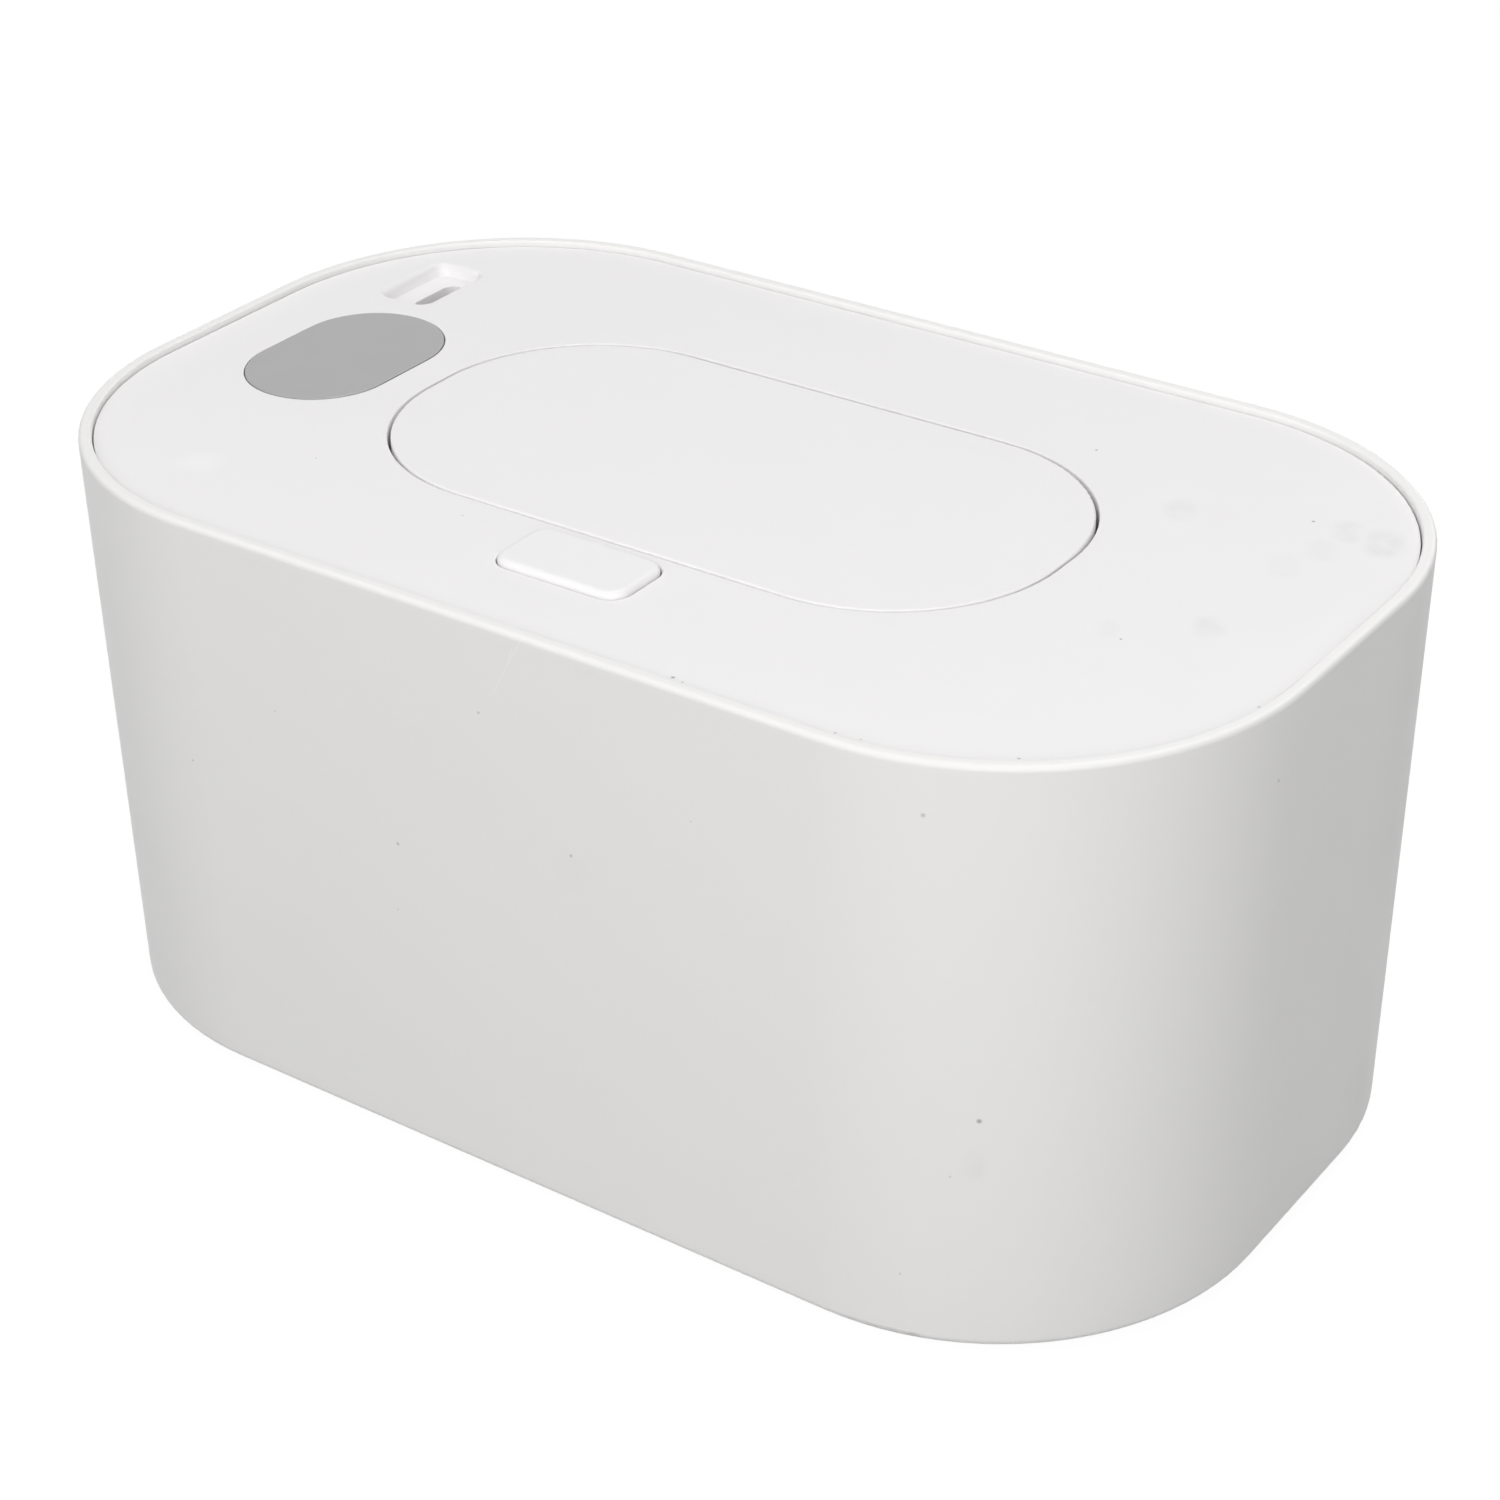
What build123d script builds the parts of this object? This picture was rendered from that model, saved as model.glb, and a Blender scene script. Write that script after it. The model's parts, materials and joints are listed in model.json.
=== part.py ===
from build123d import *
import os
from math import cos, hypot, radians, sin, tan

# Baby wipe warmer: an open-topped box, and a lift-off lid assembly that heats from above.
# Millimetres. +X runs along the length, -Y is the front (the release button's side), +Z is up.
# The origin is on the surface that it stands on, under the middle of the case.

# ---- Case
case_length = 200.0          # over the rim, along X
case_width = 120.0           # over the rim, along Y
case_height = 93.8           # from its underside to the top of the rim
corner_radius = 45.4         # in plan, at the rim
case_draft = 0.94            # degrees, walls lean in towards the base
case_wall = 2.4
floor_thickness = 2.6
base_round = 1.5             # outer edge of the base
cavity_round = 3.0           # where the inner wall meets the floor
rim_wall = 2.0
rim_outer_round = 0.8
rim_inner_round = 0.3
ledge_width = 1.4            # step inside the rim, which carries the lid
ledge_depth = 3.0

# ---- Feet
foot_diameter = 12.0
foot_height = 1.8
foot_recess = 0.8            # how deep each foot is let into the base
foot_fit = 0.2               # play round a foot in its recess
foot_inset_x = 30.0          # foot's centre from the case's end
foot_inset_y = 25.0          # foot's centre from the case's front and back
foot_round = 0.4

# ---- Top panel
panel_recess = 1.0           # below the rim
panel_thickness = 2.2
panel_gap = 0.22             # round the panel, inside the rim
panel_round = 0.12
gasket_thickness = 0.8
gasket_gap = 0.3             # between gasket and rim
skirt_gap = 0.4              # between skirt and ledge
skirt_wall = 1.8
skirt_depth = 12.3           # below the panel's flange
screw_boss_radius = 3.0
side_screw_x = 30.0
corner_screw_angle = 60.0    # degrees, about the corner's own centre

# ---- Flip lid opening and well
opening_end_margin = 44.2    # from the case's end to the opening
opening_side_margin = 30.5   # from the case's front to the opening
opening_flat = 2.3           # half of the straight stretch at each end
opening_round = 0.2
well_wall = 1.5
well_gap = 3.0               # between the closed flip lid and the well's floor
well_floor_thickness = 2.0

# ---- Flip lid
cover_gap = 0.5
cover_thickness = 5.0
cover_skin = 1.8
cover_wall = 1.8
cover_step = 1.0             # ledge inside the cover that the liner seats on
cover_round = 0.3
liner_thickness = 1.5
liner_fit = 0.15
seal_length = 76.0           # middle of the seal's ring
seal_width = 32.0
seal_section = 2.2
seal_groove = 0.6
seal_gap = 0.1               # between seal and mouth at rest

# ---- Hinge: two goosenecks that reach back under the panel
hinge_gap = 0.5              # between the flip lid's rear edge and the opening
hinge_back = 3.0             # axis behind that edge
hinge_drop = 2.6             # axis below the panel's face
hinge_limit = 95.0           # degrees, fully open
swing_clearance = 0.2        # flip lid clear of the opening's edge as it swings
rear_bar = 2.6               # solid rear edge of the flip lid
pin_radius = 0.6
pin_press = 0.02             # pin in the arm
pin_running = 0.05           # pin in the pocket's walls
pin_bearing = 1.7            # length of pin in each wall
eye_wall = 0.7
arm_inner_x = 14.3
arm_width = 4.0
arm_thickness = 1.6
arm_clearance = 0.3          # under the panel's edge, fully open
arm_play = 0.6               # between arm and pocket, along X
hinge_pocket_width = 10.0
hinge_pocket_wall = 2.4
hinge_pocket_play = 0.5      # behind the arm's eye
eye_headroom = 0.2
hinge_spring_radius = 1.0    # middle of the wire
hinge_spring_pitch = 0.55
hinge_spring_turns = 4
hinge_leg_slope = 28.0       # degrees, down from the coil to the flip lid's underside
hinge_leg = 5.0
swing_step = 9.0             # degrees round the opening's end, between points of the swing's outline
swing_steps = 4
spring_wire = 0.4

# ---- Mouth
flange_inset_x = 14.8        # mouth's flange from the opening's ends
flange_inset_y = 10.5
flange_thickness = 2.0
flange_recess = 1.0
mouth_land = 4.0             # flange that overlaps the floor, each side
neck_fit = 0.2
bead_height = 1.0
bead_lip = 0.8               # bead's overlap under the floor
membrane_thickness = 1.0
dish_land = 8.0              # width of the flange's top
slot_length = 50.0
slot_width = 10.0
slit_length = 4.5
slit_width = 0.5

# ---- Lid frame and heater
frame_thickness = 2.0
rib_height = 1.9
rib_wall = 1.5
rib_fit = 0.2
throat_gap = 0.4             # round the mouth's bead
throat_wall = 1.8
heater_inset = 16.0          # heater's guard ring from the case's outline
heater_ring_wall = 1.6
heater_gap = 0.4
heater_thickness = 1.2
heater_screw_inset = 8.0
heater_screw_x = 42.0
film_inset = 1.6             # inside the heater plate's edge
film_thickness = 0.3
pad_inset = 0.3              # inside the heater plate's edge
pad_thickness = 2.0
pillar_radius = 2.5
lead_port_offset = 12.0      # port's centre from the throat's wall
lead_port_length = 8.0
lead_port_width = 7.0
lead_port_corner = 1.0
lead_port_relief = 1.0       # port wider through the pad than through the frame
throat_clearance = 0.3       # heater parts round the throat

# ---- Screws
lid_screw_shank = 1.2
small_screw_shank = 1.0
screw_head_height = 1.6
head_ratio = 2.1             # head radius over shank radius
head_round = 0.4
tip_ratio = 0.33             # tip's chamfer over shank radius
drive_ratio = 1.1            # cross slot's length over head radius
drive_width_ratio = 0.5      # cross slot's width over shank radius
pilot_gap = 0.05
clearance_gap = 0.3
lid_screw_bite = 8.0
small_screw_bite = 3.2
pilot_extra = 1.0            # pilot hole beyond the lid screw's tip
short_of_pilot = 0.4         # small screws stop short of the pilot's end

# ---- Window and electronics
window_end_inset = 25.9      # window's centre from the case's end
window_ahead = 30.2          # window's centre in front of the socket pocket's centre
window_width = 23.7          # along X
window_length = 35.1         # along Y
window_gap = 0.2
window_recess = 1.2
window_proud = 0.15
board_standoff = 7.6         # between the panel and the board
board_thickness = 1.6
board_width = 25.4
board_length = 58.6
board_corner = 4.0
board_behind_socket = 7.95   # board's back edge behind the socket's centre
board_edge_gap = 1.0
board_boss_radius = 2.5
board_boss_inset = 3.5
display_width = 18.0
display_length = 14.0
display_offset = 6.0         # centre behind the window's centre, along Y
display_gap = 0.2
aperture_play = 0.3
touch_spring_radius = 3.0
touch_spring_pitch = 1.5
touch_offset = 9.0           # centre in front of the window's centre, along Y
# Chips behind the display: centre from the display's centre, then width, depth and height
chips = [(-5.2, 12.5, 6.0, 5.0, 1.2), (4.5, 12.5, 5.0, 5.0, 1.5)]
choke = (5.0, 21.0, 2.8, 3.0)        # centre from the display's centre, radius, height
capacitor = (6.5, 3.4, 2.0, 5.0)     # centre from the touch spring's, radius, height
buzzer = (-8.0, 4.6, 2.4, 2.5)       # centre from the touch spring's, radius, height

# ---- Socket
pocket_end_inset = 18.65
pocket_side_inset = 30.35
pocket_width = 9.1           # along X
pocket_length = 15.6         # along Y
pocket_depth = 2.1
pocket_floor_thickness = 3.2
pocket_wall = 1.5
pocket_corner = 2.0
pocket_round = 0.9
socket_offset = 1.35         # socket's centre from the pocket's, along X
socket_length = 9.0
socket_width = 3.2
socket_play = 0.3            # round the socket, in the slot of the pocket's floor
socket_end_play = 0.4        # more of it at each end of the slot
socket_sunk = 2.4            # socket's top below the pocket's floor
socket_wall = 0.35
socket_base = 1.0
tongue_length = 6.6
tongue_thickness = 0.7
tongue_drop = 0.6

# ---- Release button
button_length = 22.2
button_width = 12.3
button_corner = 3.2
button_gap = 0.25
button_web = 1.6             # panel left between opening and button
button_proud = 0.9
button_height = 4.4
button_skin = 1.6
button_wall = 1.3
button_round = 1.0
button_flange = 0.9
button_flange_length = 8.0
button_flange_height = 1.2
button_flange_gap = 0.1
button_spring_radius = 1.2   # middle of the wire
button_spring_pitch = 1.2
button_spring_x = 4.3
button_spring_back = 3.0     # ahead of the button's centre
ramp_inner_x = 6.6
ramp_outer_x = 9.0
ramp_gap = 0.1
rib_lead = 0.5               # rib stands ahead of the wedge's ramp

# ---- Latch
nose_thickness = 1.4
nose_half_width = 2.8
nose_reach = 0.5             # into the well
nose_bevel = 0.7
nose_gap = 0.1
window_play = 0.3            # round the nose in the well's wall
slider_base = 2.0
slider_gap = 0.1
slider_riser_depth = 3.0
slider_back_gap = 3.2        # riser behind the well's wall
wedge_depth = 5.0
wedge_height = 6.0
tongue_half_width = 2.2
tongue_end = 8.1             # slider's tongue ahead of the button's centre
tongue_pad = 4.0
tongue_pad_thickness = 0.8
tooth_half_width = 4.0
tooth_stem = 1.5
tooth_lip = 0.7
tooth_clearance = 0.4        # lip short of the nose
tooth_drop_gap = 0.3         # lip above the well's floor
housing_floor = 1.4
housing_wall = 1.2
housing_half_width = 13.5
housing_gap = 0.2
housing_front_gap = 0.5      # inside the panel's skirt
ear_length = 6.0
ear_thickness = 1.4
ear_forward = 3.6            # ears ahead of the housing's middle
ear_boss_drop = 5.0
latch_screw_boss = 2.3
latch_spring_radius = 1.55   # middle of the wire
latch_spring_pitch = 1.1
peg_radius = 1.0
peg_length = 2.6

# ---- Leads
heater_lead_radius = 0.7
sensor_lead_radius = 0.45
lead_loop_height = 2.6       # above the board
lead_landing = 2.2           # in from the board's edge
lead_lift = 1.4              # above the frame
lead_bend = 1.26             # radius of each bend
heater_lead_spread = 2.45    # each heater lead from the port's middle, along Y
fuse_radius = 0.9
fuse_length = 7.0
sensor_radius = 0.8
sensor_length = 3.0
part_gap = 0.05              # loose parts over the film

# ---- Levels and places that follow from the sizes above
case_base = foot_height - foot_recess
floor_top = case_base + floor_thickness
rim_top = case_base + case_height
panel_top = rim_top - panel_recess
panel_under = panel_top - panel_thickness
ledge_top = panel_under - gasket_thickness
ledge_under = ledge_top - ledge_depth
frame_top = panel_under - skirt_depth
frame_under = frame_top - frame_thickness
pad_under = frame_under - pad_thickness
film_under = pad_under - film_thickness
heater_under = film_under - heater_thickness

panel_inset = rim_wall + panel_gap
ledge_inset = rim_wall + ledge_width
skirt_inset = ledge_inset + skirt_gap
rib_inset = skirt_inset + skirt_wall + rib_fit
plate_inset = heater_inset + heater_ring_wall + heater_gap

corner_x = case_length / 2 - corner_radius
corner_y = case_width / 2 - corner_radius
boss_circle = corner_radius - rib_inset - rib_wall - screw_boss_radius - rib_fit

opening_length = case_length - 2 * opening_end_margin
opening_width = case_width - 2 * opening_side_margin
opening_radius = opening_width / 2 - opening_flat
cover_under = panel_top - cover_thickness
well_floor = cover_under - well_gap
well_under = well_floor - well_floor_thickness
flange_length = opening_length - 2 * flange_inset_x
flange_width = opening_width - 2 * flange_inset_y
flange_top = well_floor - flange_recess + flange_thickness
hole_length = flange_length - 2 * mouth_land
hole_width = flange_width - 2 * mouth_land
throat_length = hole_length + 2 * (bead_lip + throat_gap)
throat_width = hole_width + 2 * (bead_lip + throat_gap)
lead_port_x = -(throat_length / 2 + throat_wall + lead_port_offset)

arc_x = opening_length / 2 - opening_radius
arc_y = opening_width / 2 - opening_radius
rear_edge = opening_width / 2 - hinge_gap
axis_y = rear_edge + hinge_back
axis_z = panel_top - hinge_drop
open_turn = radians(hinge_limit)
eye_radius = pin_radius + eye_wall
arm_top = axis_z - (hinge_back - hinge_gap) * sin(open_turn) + hinge_drop * cos(open_turn) - arm_clearance
arm_under = arm_top - arm_thickness
arm_outer_x = arm_inner_x + arm_width
hinge_pocket_inner = arm_inner_x - arm_play
hinge_pocket_outer = hinge_pocket_inner + hinge_pocket_width
hinge_pocket_back = axis_y + eye_radius + hinge_pocket_play
hinge_ceiling = axis_z + eye_radius + eye_headroom
pin_inner = hinge_pocket_inner - pin_bearing
pin_outer = hinge_pocket_outer + pin_bearing

window_x = window_end_inset - case_length / 2
board_top = panel_under - board_standoff
board_under = board_top - board_thickness
pocket_x = pocket_end_inset - case_length / 2
pocket_y = case_width / 2 - pocket_side_inset
pocket_floor = panel_top - pocket_depth
pocket_under = pocket_floor - pocket_floor_thickness
socket_top = pocket_floor - socket_sunk
board_y = pocket_y + board_behind_socket - board_length / 2
window_y = pocket_y - window_ahead
display_y = window_y + display_offset
touch_y = window_y - touch_offset
socket_x = pocket_x + socket_offset

button_y = -(opening_width / 2 + button_web + button_gap + button_width / 2)
button_top = panel_top + button_proud
button_under = button_top - button_height
nose_top = cover_under - nose_gap
nose_under = nose_top - nose_thickness
well_face = -opening_width / 2
nose_tip = well_face + nose_reach
riser_back = well_face - well_wall - slider_back_gap
riser_front = riser_back - slider_riser_depth
wedge_front = riser_back - wedge_depth
tongue_front = button_y - tongue_end
slider_under = cover_under - wedge_height + nose_gap
slider_top = slider_under + slider_base
housing_top = slider_under - slider_gap
housing_under = housing_top - housing_floor
housing_front = -(case_width / 2 - skirt_inset - skirt_wall - housing_front_gap)
housing_back = well_face - well_wall - housing_gap
housing_inner = housing_half_width - housing_wall
latch_spring_z = housing_top + latch_spring_radius + spring_wire / 2
ear_x = housing_half_width + ear_length / 2
ear_y = (housing_front + housing_back) / 2 - ear_forward
ear_top = panel_under - ear_boss_drop


# ---- Shared shapes
def rounded(inset=0.0):
    """Plan outline of the rim, drawn in by an inset all round."""
    return RectangleRounded(case_length - 2 * inset, case_width - 2 * inset, corner_radius - inset)


def opening(grow=0.0):
    """Plan outline of the flip lid's opening, grown all round."""
    return RectangleRounded(opening_length + 2 * grow, opening_width + 2 * grow, opening_radius + grow)


def cover_outline(inset=0.0):
    """Plan outline of the flip lid, whose rear gap is the hinge's."""
    front = cover_gap - opening_width / 2
    length = opening_length - 2 * (cover_gap + inset)
    width = rear_edge - front - 2 * inset
    radius = opening_radius - cover_gap - inset
    return Pos(0, (front + rear_edge) / 2) * RectangleRounded(length, width, radius)


def prism(outline, bottom, top, draft=0.0):
    """Upright prism; a draft narrows it towards its bottom."""
    if draft:
        return extrude(Pos(0, 0, top) * outline, amount=top - bottom, dir=(0, 0, -1), taper=draft)
    return extrude(Pos(0, 0, bottom) * outline, amount=top - bottom)


def block(x0, x1, y0, y1, z0, z1):
    """Box between two corners."""
    centre = Pos((x0 + x1) / 2, (y0 + y1) / 2, (z0 + z1) / 2)
    return centre * Box(x1 - x0, y1 - y0, z1 - z0)


def post(x, y, radius, bottom, top):
    """Upright cylinder."""
    return prism(Pos(x, y) * Circle(radius), bottom, top)


def rod(x0, x1, radius):
    """Cylinder along X on the hinge's axis."""
    return Pos((x0 + x1) / 2, axis_y, axis_z) * Rot(0, 90, 0) * Cylinder(radius, abs(x1 - x0))


def both_sides(solid):
    """A solid and its mirror image in the YZ plane."""
    return solid + mirror(solid, about=Plane.YZ)


def profile_along_x(points, x0, x1):
    """Prism along X whose section is drawn in Y and Z."""
    section = make_face(Polyline(*[(x0, y, z) for y, z in points], close=True))
    return extrude(section, amount=x1 - x0, dir=(1, 0, 0))


def soften(part, x, y, radius):
    """Rounds the top edge of the hole nearest to a point of the panel's face."""
    face = part.faces().sort_by(Axis.Z)[-1]
    spot = Vector(x, y, panel_top)
    wire = min(face.inner_wires(), key=lambda w: (w.bounding_box().center() - spot).length)
    return fillet(wire.edges(), radius)


def round_top(part, radius):
    """Rounds the outer edge of a part's top face."""
    return fillet(part.faces().sort_by(Axis.Z)[-1].outer_wire().edges(), radius)


def wall_lean(z):
    """How far the case's outer wall has leaned in at a height."""
    return (rim_top - z) * tan(radians(case_draft))


def coil(x, y, bottom, top, radius, pitch):
    """Compression spring of round wire, standing on Z."""
    height = top - bottom - spring_wire
    path = Helix(pitch=pitch, height=height, radius=radius)
    spring = sweep(Plane(path @ 0, z_dir=path % 0) * Circle(spring_wire / 2), path=path)
    return Pos(x, y, bottom + spring_wire / 2) * spring


def screw(x, y, seat, shank, bite):
    """Screw driven upwards: its head lies under the seat, its shank above."""
    head_radius = shank * head_ratio
    head = post(x, y, head_radius, seat - screw_head_height, seat)
    head = fillet(head.faces().sort_by(Axis.Z)[0].edges(), head_round)
    tip = seat + bite
    body = head + post(x, y, shank, seat, tip)
    body = chamfer(body.faces().sort_by(Axis.Z)[-1].edges(), shank * tip_ratio)
    for turn in (0, 90):
        cross = Rot(0, 0, turn) * Box(head_radius * drive_ratio, shank * drive_width_ratio, screw_head_height)
        body -= Pos(x, y, seat - screw_head_height) * cross
    return body


def group(solids):
    """Separate solids that share one node."""
    return Compound(children=[solid.solid() for solid in solids])


def foot_places():
    x = case_length / 2 - foot_inset_x
    y = case_width / 2 - foot_inset_y
    return [(sx * x, sy * y) for sx in (-1, 1) for sy in (-1, 1)]


def lid_screw_places():
    turn = radians(corner_screw_angle)
    x = corner_x + boss_circle * cos(turn)
    y = corner_y + boss_circle * sin(turn)
    side_y = corner_y + boss_circle
    quarter = [(x, y), (side_screw_x, side_y)]
    return [(sx * px, sy * py) for px, py in quarter for sx in (-1, 1) for sy in (-1, 1)]


def heater_screw_places():
    end_x = case_length / 2 - plate_inset - heater_screw_inset
    side_y = case_width / 2 - plate_inset - heater_screw_inset
    sides = [(sx * heater_screw_x, sy * side_y) for sx in (-1, 1) for sy in (-1, 1)]
    return [(-end_x, 0), (end_x, 0)] + sides


def board_screw_places():
    right = window_x + board_width / 2 - board_boss_inset
    left = window_x - board_width / 2 + board_boss_inset
    front = board_y - board_length / 2 + board_boss_inset
    back = board_y + board_length / 2 - 2 * board_boss_inset
    return [(right, front), (left, front), (right, back)]


def latch_screw_places():
    return [(-ear_x, ear_y), (ear_x, ear_y)]


# ---- Case and feet
def case_shell():
    body = prism(rounded(), case_base, rim_top, case_draft)
    body = fillet(body.faces().sort_by(Axis.Z)[0].edges(), base_round)
    cavity = prism(rounded(wall_lean(ledge_under) + case_wall), floor_top, ledge_under, case_draft)
    cavity = fillet(cavity.faces().sort_by(Axis.Z)[0].edges(), cavity_round)
    body -= cavity
    body -= prism(rounded(ledge_inset), ledge_under, ledge_top)
    body -= prism(rounded(rim_wall), ledge_top, rim_top)
    rim = body.faces().sort_by(Axis.Z)[-1]
    body = fillet(rim.outer_wire().edges(), rim_outer_round)
    rim = body.faces().sort_by(Axis.Z)[-1]
    body = fillet(rim.inner_wires()[0].edges(), rim_inner_round)
    for x, y in foot_places():
        body -= post(x, y, foot_diameter / 2 + foot_fit, case_base, foot_height)
    return body


def rubber_feet():
    feet = []
    for x, y in foot_places():
        foot = post(x, y, foot_diameter / 2, 0, foot_height)
        feet.append(fillet(foot.faces().sort_by(Axis.Z)[0].edges(), foot_round))
    return group(feet)


# ---- Top panel
def window_outline(grow=0.0):
    """Plan outline of the window, long side along Y."""
    slot = SlotOverall(window_length + 2 * grow, window_width + 2 * grow, rotation=90)
    return Pos(window_x, window_y) * slot


def pocket_outline(grow=0.0):
    """Plan outline of the socket's pocket."""
    size = (pocket_width + 2 * grow, pocket_length + 2 * grow)
    return Pos(pocket_x, pocket_y) * RectangleRounded(*size, pocket_corner + grow)


def socket_outline(grow=0.0, longer=0.0):
    """Plan outline of the socket, long side along Y, grown all round and made longer at each end."""
    slot = SlotOverall(socket_length + 2 * grow + 2 * longer, socket_width + 2 * grow, rotation=90)
    return Pos(socket_x, pocket_y) * slot


def button_outline(grow=0.0):
    """Plan outline of the release button."""
    size = (button_length + 2 * grow, button_width + 2 * grow)
    return Pos(0, button_y) * RectangleRounded(*size, button_corner + grow)


def panel_plate():
    """The visible plate, with every hole's edge softened."""
    plate = round_top(prism(rounded(panel_inset), panel_under, panel_top), panel_round)
    plate -= prism(opening(), panel_under, panel_top)
    plate -= prism(button_outline(button_gap), panel_under, panel_top)
    plate -= prism(pocket_outline(), panel_under, panel_top)
    plate = soften(plate, 0, 0, opening_round)
    plate = soften(plate, 0, button_y, button_gap)
    plate = soften(plate, pocket_x, pocket_y, pocket_round)
    plate -= prism(window_outline(window_gap), panel_top - window_recess, panel_top)
    aperture = Rectangle(display_width + 2 * aperture_play, display_length + 2 * aperture_play)
    plate -= prism(Pos(window_x, display_y) * aperture, panel_under, panel_top)
    return plate


def panel_underside():
    """Skirt, well, pocket walls and bosses under the plate."""
    skirt = rounded(skirt_inset) - rounded(skirt_inset + skirt_wall)
    under = prism(skirt, frame_top, panel_under)
    under += prism(opening(well_wall), well_under, panel_under)
    under += prism(pocket_outline(pocket_wall), pocket_under, panel_under)
    for x, y in lid_screw_places():
        under += post(x, y, screw_boss_radius, frame_top, panel_under)
    for x, y in board_screw_places():
        under += post(x, y, board_boss_radius, board_top, panel_under)
    for x, y in latch_screw_places():
        under += post(x, y, latch_screw_boss, ear_top, panel_under)
    pocket = block(hinge_pocket_inner - hinge_pocket_wall, hinge_pocket_outer + hinge_pocket_wall,
                   -well_face, hinge_pocket_back + well_wall, well_under, panel_under)
    under += both_sides(pocket)
    under -= prism(opening(), well_floor, panel_under)
    under -= prism(pocket_outline(), pocket_floor, panel_under)
    return under & prism(rounded(skirt_inset), well_under - case_height, panel_under)


def top_panel():
    panel = panel_plate() + panel_underside()
    panel -= prism(SlotOverall(flange_length + neck_fit, flange_width + neck_fit),
                   well_floor - flange_recess, well_floor)
    panel -= prism(SlotOverall(hole_length, hole_width), well_under, well_floor)
    panel -= prism(socket_outline(socket_play, socket_end_play), pocket_under, pocket_floor)
    panel -= both_sides(block(hinge_pocket_inner, hinge_pocket_outer, 0, hinge_pocket_back, well_floor,
                              hinge_ceiling) - prism(opening(), well_floor, panel_top))
    panel -= both_sides(rod(pin_inner, pin_outer, pin_radius + pin_running))
    half = nose_half_width + window_play
    panel -= block(-half, half, well_face - well_wall, well_face, nose_under - window_play,
                   nose_top + window_play)
    for x, y in lid_screw_places():
        depth = lid_screw_bite - frame_thickness + pilot_extra
        panel -= post(x, y, lid_screw_shank + pilot_gap, frame_top, frame_top + depth)
    for x, y in board_screw_places():
        panel -= post(x, y, small_screw_shank + pilot_gap, board_top, board_top + small_screw_bite)
    for x, y in latch_screw_places():
        panel -= post(x, y, small_screw_shank + pilot_gap, ear_top, ear_top + small_screw_bite)
    return panel


def lid_gasket():
    outline = rounded(rim_wall + gasket_gap) - rounded(ledge_inset)
    return prism(outline, ledge_top, panel_under)


def display_window():
    window = prism(window_outline(), panel_top - window_recess, panel_top + window_proud)
    return round_top(window, window_proud)


# ---- Lid frame and heater
def throat_outline(grow=0.0):
    """Inner outline of the frame's throat, grown all round."""
    return SlotOverall(throat_length + 2 * grow, throat_width + 2 * grow)


def lead_port(grow=0.0):
    """Hole for the leads, between the throat and the heater's end."""
    size = (lead_port_length + 2 * grow, lead_port_width + 2 * grow)
    return Pos(lead_port_x, 0) * RectangleRounded(*size, lead_port_corner + grow)


def lid_frame():
    frame = prism(rounded(skirt_inset), frame_under, frame_top)
    frame += prism(rounded(rib_inset) - rounded(rib_inset + rib_wall), frame_top, frame_top + rib_height)
    guard = rounded(heater_inset) - rounded(heater_inset + heater_ring_wall)
    frame += prism(guard, heater_under, frame_under)
    frame += prism(throat_outline(throat_wall), heater_under, well_under)
    for x, y in heater_screw_places():
        frame += post(x, y, pillar_radius, film_under, frame_under)
    frame -= prism(throat_outline(), heater_under, well_under)
    frame -= prism(lead_port(), frame_under, frame_top)
    for x, y in lid_screw_places():
        frame -= post(x, y, lid_screw_shank + clearance_gap, frame_under, frame_top + rib_height)
    for x, y in heater_screw_places():
        depth = pad_thickness + frame_thickness / 2
        frame -= post(x, y, small_screw_shank + pilot_gap, film_under, film_under + depth)
    return frame


def heater_layer(inset, bottom, top, screw_hole):
    """Flat layer of the heater stack, with the throat and the screws cut out."""
    layer = prism(rounded(inset), bottom, top)
    layer -= prism(throat_outline(throat_wall + throat_clearance), bottom, top)
    for x, y in heater_screw_places():
        layer -= post(x, y, screw_hole, bottom, top)
    return layer


def heater_plate():
    return heater_layer(plate_inset, heater_under, film_under, small_screw_shank + clearance_gap)


def heater_film():
    hole = pillar_radius + clearance_gap
    return heater_layer(plate_inset + film_inset, film_under, pad_under, hole)


def insulation_pad():
    hole = pillar_radius + clearance_gap
    pad = heater_layer(plate_inset + pad_inset, pad_under, frame_under, hole)
    return pad - prism(lead_port(lead_port_relief), pad_under, frame_under)


def fuse_spot():
    """Centre of the thermal fuse, in the pad's cut-out."""
    return lead_port_x - lead_port_length / 2, pad_under + fuse_radius + part_gap


def thermal_fuse():
    x, z = fuse_spot()
    fuse = Pos(x + fuse_radius, 0, z) * Rot(90, 0, 0) * Cylinder(fuse_radius, fuse_length)
    return chamfer(fuse.edges(), fuse_radius / 4)


def sensor_x():
    return lead_port_x + lead_port_length / 2 - sensor_radius


def temperature_sensor():
    z = pad_under + sensor_radius + part_gap
    bead = Pos(sensor_x(), 0, z) * Rot(90, 0, 0) * Cylinder(sensor_radius, sensor_length)
    return fillet(bead.edges(), sensor_radius / 2)


def lead(points, radius):
    """Round insulated lead along straight runs joined by tangent arcs."""
    path = FilletPolyline(*points, radius=lead_bend)
    return sweep(Plane(path @ 0, z_dir=path % 0) * Circle(radius), path=path)


def lead_route(x, y, start_z):
    """Route from the heater, up through the frame's port, over the edge and down onto the board."""
    edge = window_x + board_width / 2
    landing = edge - lead_landing
    clear = (edge - opening_length / 2 - well_wall) / 2
    return [
        (x, y, start_z),
        (x, y, frame_top + lead_lift),
        (clear, y, frame_top + lead_lift),
        (clear, y, board_top + lead_loop_height),
        (landing, y, board_top + lead_loop_height),
        (landing, y, board_top),
    ]


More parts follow.
